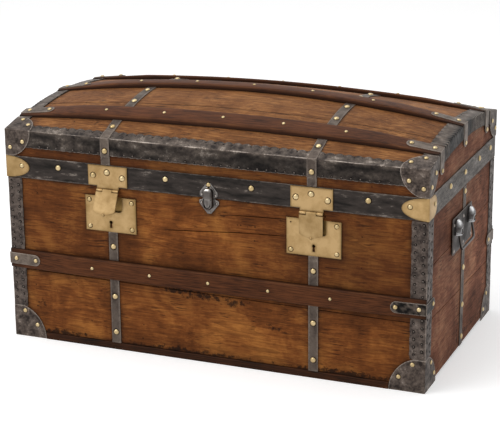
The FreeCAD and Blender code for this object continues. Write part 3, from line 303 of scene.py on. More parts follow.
# %% How far the nearest cover is
COVERS = (
    "corner_edgings_front", "corner_edgings_back", "base_caps_front", "base_caps_back", "base_rail_front",
    "base_rail_back", "front_slat", "back_slat", "front_straps", "back_straps", "end_straps",
    "lock_plate_left", "lock_plate_right", "dowel_lower", "handle_plate_left", "handle_plate_right",
    "body_hinge_leaves", "dome_slat_front", "dome_slat_middle", "dome_slat_back", "dome_strap_left",
    "dome_strap_right", "binding_front", "binding_back", "binding_left", "binding_right",
    "lid_caps_front", "lid_caps_back", "lid_band",
)
cover_points, cover_faces = [], []
for name in COVERS:
    first = len(cover_points)
    cover_points += [vert.co for vert in nodes[name].data.vertices]
    cover_faces += [[first + i for i in face.vertices] for face in nodes[name].data.polygons]
cover_tree = bvhtree.BVHTree.FromPolygons(cover_points, cover_faces)
FAR = 60 * MM


def distance_to_covers(points):
    found = (cover_tree.find_nearest(Vector(point), FAR)[3] for point in points)
    return np.array([FAR if gap is None else gap for gap in found])


print("covers:", len(COVERS), "nodes,", len(cover_faces), "faces")

# %% [markdown]
# Every finish is built from nodes. One small function adds a node, sets its options, fills its inputs and
# hands back one output, so that a material reads like a recipe. The colour starts from one tone, and a
# loop lays coats over it, each with the share that it covers. Colours are written as sRGB hex, and one
# function turns them into the linear numbers that shaders need. A pattern's scale is one over its real
# size.


# %% Adding nodes
def fill(tree, sockets, values):
    """Puts numbers and colours into sockets, and links the outputs of other nodes to them."""
    for socket, value in values.items():
        if isinstance(value, bpy.types.NodeSocket):
            tree.links.new(value, sockets[socket])
        else:
            sockets[socket].default_value = value


def add_node(tree, kind, inputs=None, out=0, **options):
    """Adds one node: options are its own settings, inputs are numbers, colours or other sockets."""
    made = tree.nodes.new(kind)
    for option, value in options.items():
        setattr(made, option, value)
    fill(tree, made.inputs, inputs or {})
    return made.outputs if out is None else made.outputs[out]


def linear(colour):
    """An sRGB hex colour as linear red, green, blue and alpha."""
    shares = [int(colour[i:i + 2], 16) / 255 for i in (1, 3, 5)]
    return [s / 12.92 if s <= 0.04045 else ((s + 0.055) / 1.055) ** 2.4 for s in shares] + [1.0]


def per(size_mm):
    return 1 / (size_mm * MM)


def new_material(name):
    material = bpy.data.materials.new(name)
    material.use_nodes = True
    return material, material.node_tree, material.node_tree.nodes["Principled BSDF"].inputs


# The sockets of a mix of two colours, by number
FACTOR, UNDER, OVER, BLENDED = 0, 6, 7, 2

# %% [markdown]
# ** Aged pine.** Softwood boards, planed, stained by use and waxed. The eye sees broad golden and brown
# clouds, faint rings, a curl across the board, fine fibres along it, short dark streaks and small pits,
# and dirt that thickens towards the iron, with a painted contact shade. Noise of several sizes gives all
# of these, stretched where the wood is. The stains, the dirt and painted shade, and the scuffs are marks
# on the boards, because they belong to places and not to the wood.


# %% Aged pine
FIBRE_STRETCH, BAND_STRETCH, CURL_STRETCH = 16, 9, 1 / 3
WANDER = 14 * MM
RINGS = 8.0
CURL_SHARE, BAND_SHARE, WHOLE_FIGURE = 0.12, 0.25, 1.37
PALE_INSIDE = 0.6
DIRT_AND_SHADE_BROWN = linear("#140a05")
STREAK_BROWN = linear("#1f0f06")
STAIN_BROWN = linear("#34180b")
BARE_PINE = linear("#a8814f")


def aged_pine(name, along, gold, brown, dark, cloudy, gloss):
    material, tree, shader = new_material(name)
    place = add_node(tree, "ShaderNodeTexCoord", out="Object")
    ways = []
    for stretch in (FIBRE_STRETCH, BAND_STRETCH, CURL_STRETCH):
        squeeze = [1 / stretch if axis == along else 1.0 for axis in "xyz"]
        ways.append(add_node(tree, "ShaderNodeMapping", {"Vector": place, "Scale": squeeze}))
    fibres, bands, curls = ways
    drift = add_node(
        tree, "ShaderNodeTexNoise", {"Vector": place, "Scale": per(120), "Detail": 2.0}, "Color")
    wavering = add_node(
        tree, "ShaderNodeVectorMath", {0: drift, 1: [WANDER] * 3, 2: fibres}, operation="MULTIPLY_ADD")

    # Each pattern's way, size in millimetres, detail, roughness and distortion
    patterns = (
        (place, 90, 6.0, 0.62, 0.4), (curls, 40, 3.0, 0.6, 0.0), (bands, 5, 4.0, 0.65, 0.0),
        (wavering, 1.7, 4.0, 0.7, 0.0), (bands, 30, 1.0, 0.5, 0.5), (wavering, 2.2, 2.0, 0.5, 0.0),
        (place, 48, 3.0, 0.6, 0.0), (place, 9, 7.0, 0.75, 0.0),
    )
    cloud, curl, band, fibre, ring, streak, worn, ragged = (
        add_node(
            tree, "ShaderNodeTexNoise",
            {"Vector": way, "Scale": per(size), "Detail": detail, "Roughness": rough, "Distortion": bend})
        for way, size, detail, rough, bend in patterns
    )
    figure = add_node(tree, "ShaderNodeMath", {0: cloud, 1: cloudy}, operation="MULTIPLY")
    for layer, share in ((curl, CURL_SHARE), (band, BAND_SHARE), (fibre, WHOLE_FIGURE - cloudy)):
        figure = add_node(
            tree, "ShaderNodeMath", {0: layer, 1: share, 2: figure}, operation="MULTIPLY_ADD")
    deep = add_node(tree, "ShaderNodeMapRange", {"Value": figure, "From Min": 0.62, "From Max": 0.87})
    high = add_node(tree, "ShaderNodeMapRange", {"Value": figure, "From Min": 0.85, "From Max": 1.08})
    ring = add_node(tree, "ShaderNodeMath", {0: ring, 1: RINGS}, operation="MULTIPLY")
    ring = add_node(tree, "ShaderNodeMath", {0: ring}, operation="FRACT")
    ring = add_node(tree, "ShaderNodeMapRange", {"Value": ring, "From Min": 0.45, "To Max": 0.38})
    streak = add_node(tree, "ShaderNodeMath", {0: worn, 1: 0.6, 2: streak}, operation="MULTIPLY_ADD")
    streak = add_node(
        tree, "ShaderNodeMapRange", {"Value": streak, "From Min": 0.95, "From Max": 1.05, "To Max": 0.8})
    pit = add_node(tree, "ShaderNodeTexVoronoi", {"Vector": place, "Scale": per(26)})
    pit = add_node(
        tree, "ShaderNodeMapRange",
        {"Value": pit, "From Min": 0.04, "From Max": 0.07, "To Min": 0.85, "To Max": 0.0})

    tone, scuff, grime, inside = (
        add_node(tree, "ShaderNodeAttribute", out="Fac", attribute_name=kept)
        for kept in ("tone", "scuff", "grime", "inside")
    )
    scuff = add_node(tree, "ShaderNodeMath", {0: ragged, 1: 1.8, 2: scuff}, operation="MULTIPLY_ADD")
    scuff = add_node(
        tree, "ShaderNodeMapRange", {"Value": scuff, "From Min": 1.28, "From Max": 1.45, "To Max": 0.85})
    uneven = add_node(
        tree, "ShaderNodeMapRange",
        {"Value": ragged, "From Min": 0.3, "From Max": 0.7, "To Min": 0.6, "To Max": 1.2})
    # The grime mark is dirt, with a painted contact shade next to the iron
    grime = add_node(tree, "ShaderNodeMath", {0: grime, 1: uneven}, operation="MULTIPLY", use_clamp=True)
    inside = add_node(tree, "ShaderNodeMath", {0: inside, 1: PALE_INSIDE}, operation="MULTIPLY")

    colour = linear(dark)
    coats = (
        (deep, linear(brown)), (high, linear(gold)), (ring, linear(dark)), (streak, STREAK_BROWN),
        (pit, DIRT_AND_SHADE_BROWN), (tone, STAIN_BROWN), (scuff, DIRT_AND_SHADE_BROWN), (grime, DIRT_AND_SHADE_BROWN), (inside, BARE_PINE),
    )
    for share, cover in coats:
        colour = add_node(
            tree, "ShaderNodeMix", {FACTOR: share, UNDER: colour, OVER: cover}, BLENDED, data_type="RGBA")
    wax = add_node(
        tree, "ShaderNodeMapRange",
        {"Value": figure, "From Min": 0.7, "From Max": 1.2, "To Min": 0.66, "To Max": 0.5})
    bump = add_node(tree, "ShaderNodeBump", {"Height": fibre, "Distance": 0.3 * MM, "Strength": 0.4})
    fill(tree, shader, {"Base Color": colour, "Roughness": wax, "Normal": bump})
    fill(tree, shader, {"Specular IOR Level": gloss})
    return material


# The grain's axis, three tones, how cloudy the figure is and the gloss
FRONT_PINE = aged_pine("aged_pine_long_boards", "x", "#b67638", "#814a21", "#43230d", 0.88, 0.09)
END_PINE = aged_pine("aged_pine_end_boards", "y", "#ca936d", "#965f46", "#4d2e21", 0.85, 0.05)
DOME_PINE = aged_pine("aged_pine_dome_boards", "x", "#ac7743", "#7d4f29", "#402310", 0.5, 0.13)
print("made three pines")

# %% [markdown]
# **Stained hardwood and base wood.** The slats are close-grained hardwood under a dark brown stain that
# rubbing has thinned along their round edges. The rails under the box are the same wood, nearly black
# with dirt. Fine stretched noise is the grain, and the edge mark lets the bare wood through.


# %% Stained hardwood
def stained_hardwood(name, body_colour, pore_colour, worn_colour, worn):
    material, tree, shader = new_material(name)
    place = add_node(tree, "ShaderNodeTexCoord", out="Object")
    drawn_out = add_node(tree, "ShaderNodeMapping", {"Vector": place, "Scale": (0.04, 1, 1)})
    pores, cloud = (
        add_node(
            tree, "ShaderNodeTexNoise",
            {"Vector": way, "Scale": per(size), "Detail": 4.0, "Roughness": 0.6})
        for way, size in ((drawn_out, 1.8), (place, 60))
    )
    blend = add_node(tree, "ShaderNodeMath", {0: cloud, 1: 0.4, 2: pores}, operation="MULTIPLY_ADD")
    body = add_node(tree, "ShaderNodeMapRange", {"Value": blend, "From Min": 0.53, "From Max": 0.88})
    edge, grime = (
        add_node(tree, "ShaderNodeAttribute", out="Fac", attribute_name=kept) for kept in ("edge", "grime"))
    rubbed = add_node(tree, "ShaderNodeMath", {0: edge, 1: cloud}, operation="MULTIPLY")
    rubbed = add_node(
        tree, "ShaderNodeMapRange", {"Value": rubbed, "From Min": 0.35, "From Max": 0.75, "To Max": worn})
    uneven = add_node(tree, "ShaderNodeMath", {0: pores, 1: 1.2, 2: 0.3}, operation="MULTIPLY_ADD")
    # The grime mark on the slats is painted contact shade at the foot, and darker ends
    grime = add_node(tree, "ShaderNodeMath", {0: grime, 1: uneven}, operation="MULTIPLY", use_clamp=True)
    colour = linear(pore_colour)
    for share, cover in ((body, linear(body_colour)), (rubbed, linear(worn_colour)), (grime, DIRT_AND_SHADE_BROWN)):
        colour = add_node(
            tree, "ShaderNodeMix", {FACTOR: share, UNDER: colour, OVER: cover}, BLENDED, data_type="RGBA")
    bump = add_node(tree, "ShaderNodeBump", {"Height": pores, "Distance": 0.25 * MM, "Strength": 0.4})
    fill(tree, shader, {"Base Color": colour, "Normal": bump})
    fill(tree, shader, {"Roughness": 0.55, "Specular IOR Level": 0.1})
    return material


# Tones of the body, the pores and the worn edges, and the share of wear
SLAT_WOOD = stained_hardwood("stained_slat_hardwood", "#643a20", "#30180b", "#7a4f2d", 0.6)
RAIL_WOOD = stained_hardwood("darkened_rail_wood", "#442614", "#100804", "#5c371f", 0.6)
print("made slat and rail woods")

# %% [markdown]
# ** Sheet iron.** Thin rolled iron, hammered round the edges of the trunk, then darkened by age and rubbed
# grey where hands and floors touch it. The eye sees soft dark and pale clouds, finer mottling in them, a
# low metal gloss, and pale lines along the folds, which are rubbed wear with a painted highlight. Straps
# and clips are greyer and more even. The band round the lid is the same iron, nearly black, with a few
# pale scrapes along it.


# %% Sheet iron
IRON_BLACK = linear("#0d0b0a")
HALF_BLEND = 0.2
SCRAPE_FADE = 0.08


def worn_iron(name, pale, dark, bright, patch_mm, stretch, mottled, scraped_from):
    material, tree, shader = new_material(name)
    place = add_node(tree, "ShaderNodeTexCoord", out="Object")
    squeeze = (1 / stretch, 1 / stretch, 1)
    drawn_out = add_node(tree, "ShaderNodeMapping", {"Vector": place, "Scale": squeeze})

    # Each pattern's size in millimetres, detail, roughness and distortion
    patterns = ((patch_mm, 3.0, 0.55, 0.3), (5, 5.0, 0.65, 0.0), (3, 6.0, 0.75, 0.0))
    patch, mottle, scraped = (
        add_node(
            tree, "ShaderNodeTexNoise",
            {"Vector": drawn_out, "Scale": per(size), "Detail": detail, "Roughness": rough,
             "Distortion": bend})
        for size, detail, rough, bend in patterns
    )
    blend = add_node(tree, "ShaderNodeMath", {0: mottle, 1: mottled, 2: patch}, operation="MULTIPLY_ADD")
    middle = 0.5 + 0.5 * mottled
    clean = add_node(
        tree, "ShaderNodeMapRange",
        {"Value": blend, "From Min": middle - HALF_BLEND, "From Max": middle + HALF_BLEND})
    scrape = add_node(tree, "ShaderNodeMath", {0: patch, 1: scraped}, operation="MULTIPLY")
    scrape = add_node(
        tree, "ShaderNodeMapRange",
        {"Value": scrape, "From Min": scraped_from, "From Max": scraped_from + SCRAPE_FADE, "To Max": 0.55})
    # The grime mark is dirt and blackening, and painted shade in the gaps between pleats
    grime, edge = (
        add_node(tree, "ShaderNodeAttribute", out="Fac", attribute_name=kept) for kept in ("grime", "edge"))
    grime = add_node(
        tree, "ShaderNodeMath", {0: grime, 1: scraped, 2: grime}, operation="MULTIPLY_ADD", use_clamp=True)
    # The edge mark is rubbed wear; on folds and pleat crests also a painted highlight, on the band's ends a
    # painted sheen
    rubbed = add_node(tree, "ShaderNodeMath", {0: edge, 1: scraped}, operation="MULTIPLY")
    rubbed = add_node(
        tree, "ShaderNodeMapRange", {"Value": rubbed, "From Min": 0.2, "From Max": 0.5, "To Max": 0.9})
    colour = linear(dark)
    bright = linear(bright)
    for share, cover in ((clean, linear(pale)), (scrape, bright), (grime, IRON_BLACK), (rubbed, bright)):
        colour = add_node(
            tree, "ShaderNodeMix", {FACTOR: share, UNDER: colour, OVER: cover}, BLENDED, data_type="RGBA")
    rough = add_node(tree, "ShaderNodeMapRange", {"Value": clean, "To Min": 0.62, "To Max": 0.46})
    bump = add_node(tree, "ShaderNodeBump", {"Height": mottle, "Distance": 0.4 * MM, "Strength": 0.35})
    fill(tree, shader, {"Base Color": colour, "Roughness": rough, "Normal": bump})
    fill(tree, shader, {"Metallic": 0.7, "Specular IOR Level": 0.25})
    return material


# Three tones, patches in millimetres, their stretch, the mottling and where scrapes start
EDGING_IRON = worn_iron("sheet_iron_edging", "#60554e", "#312a27", "#978b82", 13, 1.0, 0.8, 0.34)
BINDING_IRON = worn_iron("sheet_iron_binding", "#5d534b", "#292321", "#a3988e", 18, 1.3, 0.75, 0.31)
END_IRON = worn_iron("sheet_iron_end_binding", "#6b6057", "#463d37", "#a3988e", 18, 1.3, 0.5, 0.33)
STRAP_IRON = worn_iron("sheet_iron_strap", "#655a51", "#423934", "#80756c", 26, 1.0, 0.4, 0.36)
CLIP_IRON = worn_iron("sheet_iron_clip", "#776b61", "#50463f", "#94897f", 20, 1.0, 0.4, 0.36)
BAND_IRON = worn_iron("blackened_band_iron", "#3e3733", "#1d1a18", "#8b8178", 12, 4.0, 0.5, 0.335)
CAP_IRON = worn_iron("sheet_iron_cap", "#675b53", "#2b2421", "#9f948a", 15, 1.0, 0.68, 0.325)
PLATE_IRON = worn_iron("dark_plate_iron", "#4a4340", "#26221f", "#857b73", 20, 1.0, 0.35, 0.36)
print("made eight irons")

# %% [markdown]
# ** Brass.** Rolled brass sheet, polished long ago and gone satin: pale gold with a soft brown bloom,
# darker along the edges, with dirt where polish never reached and a painted shadow outline. The tacks are
# stamped brass domes, brighter on top than at the rim, where black dirt and a painted shadow darken them.
# The same recipe in greys makes the heads of studs and nails further on. A metal keeps the default index
# of refraction.


# %% Brass
def aged_brass(name, gold, bloom, dirt_and_shade, mark_name, dirt_and_shade_share, roughness):
    material, tree, shader = new_material(name)
    place = add_node(tree, "ShaderNodeTexCoord", out="Object")
    cloud = add_node(
        tree, "ShaderNodeTexNoise", {"Vector": place, "Scale": per(26), "Detail": 4.0, "Roughness": 0.6})
    rolled = add_node(tree, "ShaderNodeMapping", {"Vector": place, "Scale": (0.15, 1, 1)})
    fine = add_node(tree, "ShaderNodeTexNoise", {"Vector": rolled, "Scale": per(0.9), "Detail": 2.0})
    bloomed = add_node(tree, "ShaderNodeMapRange", {"Value": cloud, "From Min": 0.4, "From Max": 0.68})
    # The marked edges and rims darken: dirt, and a painted shadow outline
    rim = add_node(tree, "ShaderNodeAttribute", out="Fac", attribute_name=mark_name)
    rim = add_node(tree, "ShaderNodeMath", {0: rim, 1: dirt_and_shade_share}, operation="MULTIPLY")
    colour = linear(gold)
    for share, cover in ((bloomed, linear(bloom)), (rim, linear(dirt_and_shade))):
        colour = add_node(
            tree, "ShaderNodeMix", {FACTOR: share, UNDER: colour, OVER: cover}, BLENDED, data_type="RGBA")
    rough = add_node(
        tree, "ShaderNodeMapRange",
        {"Value": cloud, "To Min": roughness - 0.08, "To Max": roughness + 0.14})
    bump = add_node(tree, "ShaderNodeBump", {"Height": fine, "Distance": 0.1 * MM, "Strength": 0.15})
    fill(tree, shader, {"Base Color": colour, "Roughness": rough, "Normal": bump, "Metallic": 1.0})
    return material


# Three tones, the mark that holds dirt and painted shadow, the share of both and the roughness
PLATE_BRASS = aged_brass("satin_plate_brass", "#b09368", "#987c52", "#5c4726", "edge", 0.75, 0.44)
HASP_BRASS = aged_brass("satin_hasp_brass", "#b0956b", "#977c53", "#6d5631", "edge", 0.35, 0.6)
CASE_BRASS = aged_brass("dull_case_brass", "#8f7344", "#7a6036", "#5c4726", "edge", 0.7, 0.5)
TACK_BRASS = aged_brass("stamped_tack_brass", "#c6b188", "#a79065", "#120c07", "rim", 1.0, 0.28)
CORNER_BRASS = aged_brass("satin_corner_brass", "#b5976a", "#9b7f54", "#4d3b22", "edge", 0.8, 0.42)
PIN_BRASS = aged_brass("turned_pin_brass", "#98794a", "#7d6239", "#5c4726", "edge", 0.7, 0.45)
print("made six brasses")

# %% [markdown]
# ** Steel.** The dowel and the handles are cast steel, darkened all over and rubbed bright on the edges.
# The faces that look up and out, or to the front at the ends, get a painted highlight: a mark holds those
# faces, and a power narrows it. The bright steel is smooth enough to mirror the lamps, and the dark
# steel is a little rougher.


# %% Polished steel
def rubbed_and_highlighted_steel(name, dark, bright, narrow, rim, roughness):
    material, tree, shader = new_material(name)
    place = add_node(tree, "ShaderNodeTexCoord", out="Object")
    cloud = add_node(
        tree, "ShaderNodeTexNoise", {"Vector": place, "Scale": per(7), "Detail": 5.0, "Roughness": 0.65})
    polish, edge = (
        add_node(tree, "ShaderNodeAttribute", out="Fac", attribute_name=kept) for kept in ("polish", "edge"))
    # The painted highlight, narrowed by a power; the rubbed edges are added to it
    polish = add_node(tree, "ShaderNodeMath", {0: polish, 1: narrow}, operation="POWER")
    polish = add_node(tree, "ShaderNodeMath", {0: edge, 1: rim, 2: polish}, operation="MULTIPLY_ADD")
    uneven = add_node(
        tree, "ShaderNodeMapRange",
        {"Value": cloud, "From Min": 0.3, "From Max": 0.7, "To Min": 0.6, "To Max": 1.15})
    polish = add_node(tree, "ShaderNodeMath", {0: polish, 1: uneven}, operation="MULTIPLY", use_clamp=True)
    colour = add_node(
        tree, "ShaderNodeMix", {FACTOR: polish, UNDER: linear(dark), OVER: linear(bright)}, BLENDED,
        data_type="RGBA")
    rough = add_node(
        tree, "ShaderNodeMapRange", {"Value": polish, "To Min": roughness + 0.12, "To Max": roughness})
    fill(tree, shader, {"Base Color": colour, "Roughness": rough, "Metallic": 1.0})
    return material


# Two tones, how narrow the painted highlight is, how much the edges have and the roughness
DOWEL_STEEL = rubbed_and_highlighted_steel("dowel_steel_painted_highlight", "#393330", "#c0bab5", 6.5, 0.3, 0.2)
EAR_STEEL = rubbed_and_highlighted_steel("ear_steel_painted_highlight", "#2c2725", "#ffffff", 11.0, 0.4, 0.12)
HANDLE_STEEL = rubbed_and_highlighted_steel("handle_steel_painted_highlight", "#2a2523", "#8d8681", 6.0, 0.35, 0.24)
print("made three steels")

# %% [markdown]
# **Board walls.** The box is made of wide boards. Each wall here is a grid of points whose rows bend to
# follow the board joints and the splits, so a split is a real groove and not a painted line. The rows
# between two grooves are spread evenly. Wear only ever takes wood away, so the relief goes inwards.

# %% A wall of boards
ROW = 5 * MM
COLUMN = 5 * MM
RELIEF = 0.35 * MM
GROOVE_FADE = 25 * MM
GROOVE_DARK = 0.8 * MM
DIRT_AND_SHADE_LINE = 0.55
WALL_SHADE = 0.46
GRIME_AND_SHADE_NEAR = 2.4 * MM
GRIME_AND_SHADE_FAR = 16 * MM
RELIEF_SIZE, GRIME_AND_SHADE_SIZE, STAIN_SIZE = 60 * MM, 35 * MM, 130 * MM


def grime_at(points, shade):
    """Dirt with painted contact shade at the iron: a dark line, and painted shade that reaches further."""
    gap = distance_to_covers(points)
    return DIRT_AND_SHADE_LINE * np.exp(-gap / GRIME_AND_SHADE_NEAR) + shade * np.exp(-gap / GRIME_AND_SHADE_FAR)


def spaced(low, high, step):
    return np.linspace(low, high, max(2, round((high - low) / step) + 1))


def line_mm(*places):
    """A groove's course as two lists, from places in millimetres."""
    return [u * MM for u, v in places], [v * MM for u, v in places]


def grooved_rows(along, low, high, grooves):
    """Heights of the rows of a wall, and how deep each row is let in at each place."""
    level = 0 * along
    guides = [(low + level, level)]
    for course, half_width, depth in grooves:
        middle = np.interp(along, *course)
        from_start, from_end = along - course[0][0], course[0][-1] - along
        fade = np.clip(from_start / GROOVE_FADE, 0, 1) * np.clip(from_end / GROOVE_FADE, 0, 1)
        guides += [(middle - half_width, level), (middle, depth * fade), (middle + half_width, level)]
    guides.append((high + level, level))
    heights, depths = [low + level], [level]
    for (lower, lower_depth), (upper, upper_depth) in zip(guides, guides[1:]):
        steps = max(1, math.ceil((upper - lower).max() / ROW))
        for step in range(1, steps + 1):
            share = step / steps
            heights.append(lower + (upper - lower) * share)
            depths.append(lower_depth + (upper_depth - lower_depth) * share)
    return np.array(heights), np.array(depths)


def spots(across, heights, places):
    """One field for each place: its strength at the middle, fading over its reach both ways."""
    fields = [np.zeros(across.shape)]
    for (u, v), (wide, high), strength in places:
        aside = (across - u * MM) / (wide * MM)
        above = (heights - v * MM) / (high * MM)
        fields.append(strength * np.exp(-aside ** 2 - above ** 2))
    return np.array(fields)


def board_wall(
        node, along, low, high, place, material, tone, seed, grooves=(), scuffs=(), tones=(),
        shade=WALL_SHADE):
    """A wall in the plane that place gives: place(along, height, inset) are its points."""
    heights, depths = grooved_rows(along, low, high, grooves)
    across = np.broadcast_to(along, heights.shape)
    relief = RELIEF * (0.5 + 0.5 * bumps(across, heights, RELIEF_SIZE, seed)) + depths
    outer = place(across, heights, relief)
    inner = place(across, heights, np.full(heights.shape, WALL))
    points = outer.reshape(-1, 3)
    # Dirt and a painted contact shade towards the iron, and dark joints in the grooves
    grime = grime_at(points, shade) * (0.8 + 0.35 * bumps(across, heights, GRIME_AND_SHADE_SIZE, seed + 1).ravel())
    grime = np.maximum(grime, np.clip(depths / GROOVE_DARK, 0, 1).ravel())
    stain = tone + 0.1 * bumps(across, heights, STAIN_SIZE, seed + 2)
    stain = stain + spots(across, heights, tones).sum(axis=0)
    marks = {
        "grime": on_outside(np.clip(grime, 0, 1)),
        "scuff": on_outside(spots(across, heights, scuffs).max(axis=0)),
        "tone": on_outside(np.clip(stain, 0, 1)),
        "inside": np.repeat((0, 1), len(points)),
    }
    return sheet_piece("boarded_" + node, material, (outer, inner, marks))


# %% [markdown]
# **The front.** Its two boards meet in a joint just below the slat, which slopes a little, and two splits
# run from the right lock towards the middle. Dirt has worked into the joint, and feet have scuffed the
# bottom. The wall behind each lock plate is cut away for the lock, so a Boolean takes out those pockets.
# A groove is its course, its half width and its depth. A scuff or a stain is its middle and its reach in
# millimetres, and its strength.

# %% Front and back walls
SPLIT = 1.1 * MM
JOINT = 0.9 * MM
JOINT_DEEP = 1.6 * MM
LONG_SPLIT = (line_mm((-92, 245.5), (-18, 250.4), (60, 256.5), (150, 260)), SPLIT, 3 * MM)
SHORT_SPLIT = (line_mm((32, 287), (90, 289.5), (152, 291.4)), SPLIT, 2.4 * MM)
FRONT_JOINT = (line_mm((-405, 136.5), (0, 132.5), (405, 128)), JOINT, JOINT_DEEP)
FRONT_SCUFFS = [
    ((-60, 132), (50, 9), 0.58), ((-10, 127), (55, 10), 0.62), ((48, 123), (34, 10), 0.6),
    ((135, 85), (42, 12), 0.46), ((-347, 69), (14, 12), 0.5), ((-311, 108), (7, 15), 0.44),
    ((-273, 75), (6, 14), 0.42), ((-310, 16), (90, 10), 0.6), ((-60, 16), (170, 9), 0.58),
    ((250, 16), (150, 10), 0.62), ((70, 272), (60, 5), 0.44), ((-345, 285), (50, 28), 0.3),
]
FRONT_TONES = [
    ((-75, 248), (120, 45), -0.3), ((-60, 70), (190, 45), -0.2), ((-300, 60), (70, 50), -0.08),
    ((290, 225), (150, 80), 0.4), ((-280, 240), (110, 80), 0.26), ((290, 70), (120, 45), -0.1),
]


def in_front(x, z, inset):
    return np.stack([x, inset - HALF_DEEP, z], -1)


def at_back(x, z, inset):
    return np.stack([x, HALF_DEEP - inset, z], -1)


def cut_out(piece, tools):
    """Takes the shapes of the tools out of a piece, and clears the tools away."""
    for tool in tools:
        cut = piece.modifiers.new("cut out", "BOOLEAN")
        cut.operation = "DIFFERENCE"
        cut.object = tool
    settle(piece)
    for tool in tools:
        bpy.data.objects.remove(tool)


long_way = spaced(-HALF_LONG, HALF_LONG, COLUMN)
front_wall = board_wall(
    "front_wall", long_way, front_low.z, SEAM, in_front, FRONT_PINE, tone=0.22, seed=3,
    grooves=[FRONT_JOINT, LONG_SPLIT, SHORT_SPLIT], scuffs=FRONT_SCUFFS, tones=FRONT_TONES)
pockets = []
for low, high in piece_boxes("lock_cases"):
    middle = (low + high) / 2
    bpy.ops.mesh.primitive_cube_add(size=1, location=(middle[0], -HALF_DEEP, middle[2]))
    pocket = bpy.context.object
    pocket.scale = (high[0] - low[0], 2 * (high[1] + HALF_DEEP), high[2] - low[2])
    pockets.append(pocket)
cut_out(front_wall, pockets)
smooth(front_wall.data)
attach(front_wall, "front_wall")

BACK_JOINT = (line_mm((-405, 150), (405, 158)), JOINT, JOINT_DEEP)
BACK_SCUFFS = [((0, 24), (400, 10), 0.5), ((90, 90), (80, 20), 0.4)]
back_wall = board_wall(
    "back_wall", long_way, front_low.z, SEAM, at_back, FRONT_PINE, tone=0.2, seed=5,
    grooves=[BACK_JOINT], scuffs=BACK_SCUFFS)
attach(back_wall, "back_wall")
print("front wall:", len(front_wall.data.polygons), "faces")

# %% [markdown]
# **The ends.** Narrower boards, redder than the front, with two open joints. The lid's own walls are
# plain strips that mostly hide behind iron. The tops of its end walls follow the dome's underside.

# %% End walls and lid walls
deep_way = spaced(-HALF_DEEP + WALL, HALF_DEEP - WALL, COLUMN)
END_JOINTS = [
    (line_mm((-211, 127), (211, 111)), JOINT, JOINT_DEEP),
    (line_mm((-211, 225), (0, 227), (211, 234)), JOINT, 1.8 * MM),
]
END_SCUFFS = [((60, 24), (200, 10), 0.42), ((150, 190), (16, 60), 0.3)]
END_TONES = [((-110, 250), (130, 60), 0.1), ((150, 160), (80, 120), -0.42)]
LID_TONES = [((40, 335), (170, 80), 0.22)]
end_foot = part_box("right_wall")[0].z
lid_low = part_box("lid_front_wall")[0].z
lid_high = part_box("lid_front_wall")[1].z
under_boards = dome(HALF_LONG, deep_way) - (LID_EDGE - lid_high)


def on_end(side):
    def place(y, z, inset):
        return np.stack([side * (HALF_LONG - inset), y, z], -1)
    return place


for name, side in (("left", -1), ("right", 1)):
    wall = board_wall(
        name + "_wall", deep_way, end_foot, SEAM, on_end(side), END_PINE, tone=0.41, seed=7 + side,
        grooves=END_JOINTS, scuffs=END_SCUFFS, tones=END_TONES, shade=0.24)
    attach(wall, name + "_wall")
    lid_wall = board_wall(
        "lid_%s_wall" % name, deep_way, lid_low, under_boards, on_end(side), END_PINE, tone=0.25,
        seed=11 + side)
    attach(lid_wall, "lid_%s_wall" % name)
for name, place in (("front", in_front), ("back", at_back)):
    lid_wall = board_wall(
        "lid_%s_wall" % name, long_way, lid_low, lid_high, place, FRONT_PINE, tone=0.46, seed=13,
        tones=LID_TONES, shade=0.3)
    attach(lid_wall, "lid_%s_wall" % name)
print("walls: four on the box, four on the lid")

# %% [markdown]
# **The dome boards.** Four boards bend over the lid, each a sheet between the upper law and the same law
# one board lower. Their long edges are eased, so a thin dark line shows where two of them meet.

# %% Dome boards
BOARD = LID_EDGE - edge_board[edge_board[:, 1] < TINY - HALF_DEEP, 2].min()
EASE, EASE_REACH = 1.2 * MM, 0.7 * MM
EASED_ROWS = np.array([0, 0.3, 0.8, 1.6, 3.0]) * MM
DOME_RELIEF_SIZE = 55 * MM
DOME_SHADE = 0.12
JOINT_DARK, JOINT_DARK_REACH = 0.95, 1.2 * MM
DOME_TONES = (0.0, 0.1, 0.04, 0.14)


def dome_board(number, tone):
    node = "dome_board_%d" % number
    low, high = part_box(node)
    middle_rows = spaced(low.y + ROW, high.y - ROW, ROW)
    rows = np.concatenate([low.y + EASED_ROWS, middle_rows, high.y - EASED_ROWS[::-1]])
    x, y = np.meshgrid(long_way, rows)
    from_joint = np.minimum(y - low.y, high.y - y)
    eased = EASE * np.exp(-from_joint / EASE_REACH)
    relief = RELIEF * (0.5 + 0.5 * bumps(x, y, DOME_RELIEF_SIZE, 20 + number)) + eased
    outer = np.stack([x, y, dome(x, y) - relief], -1)
    inner = np.stack([x, y, dome(x, y) - BOARD], -1)
    points = outer.reshape(-1, 3)
    joint_dirt = JOINT_DARK * np.exp(-from_joint.ravel() / JOINT_DARK_REACH)
    marks = {
        "grime": on_outside(np.maximum(grime_at(points, DOME_SHADE), joint_dirt)),
        "tone": np.full(2 * len(points), tone),
        "inside": np.repeat((0, 1), len(points)),
    }
    attach(sheet_piece("bowed_" + node, DOME_PINE, (outer, inner, marks)), node)


for number, tone in enumerate(DOME_TONES, start=1):
    dome_board(number, tone)
print("dome:", len(DOME_TONES), "boards of", round(BOARD / MM, 1), "mm")

# %% [markdown]
# **The slats.** Hardwood runners take the knocks for the boards. Each is a bar with rounded upper edges
# that is planed thin towards its ends, where a clip holds it down. One outline, swept along a path, makes
# them all: straight on the walls, along the dome's law on the lid. A slow wander in the width keeps the
# edges from looking machined.

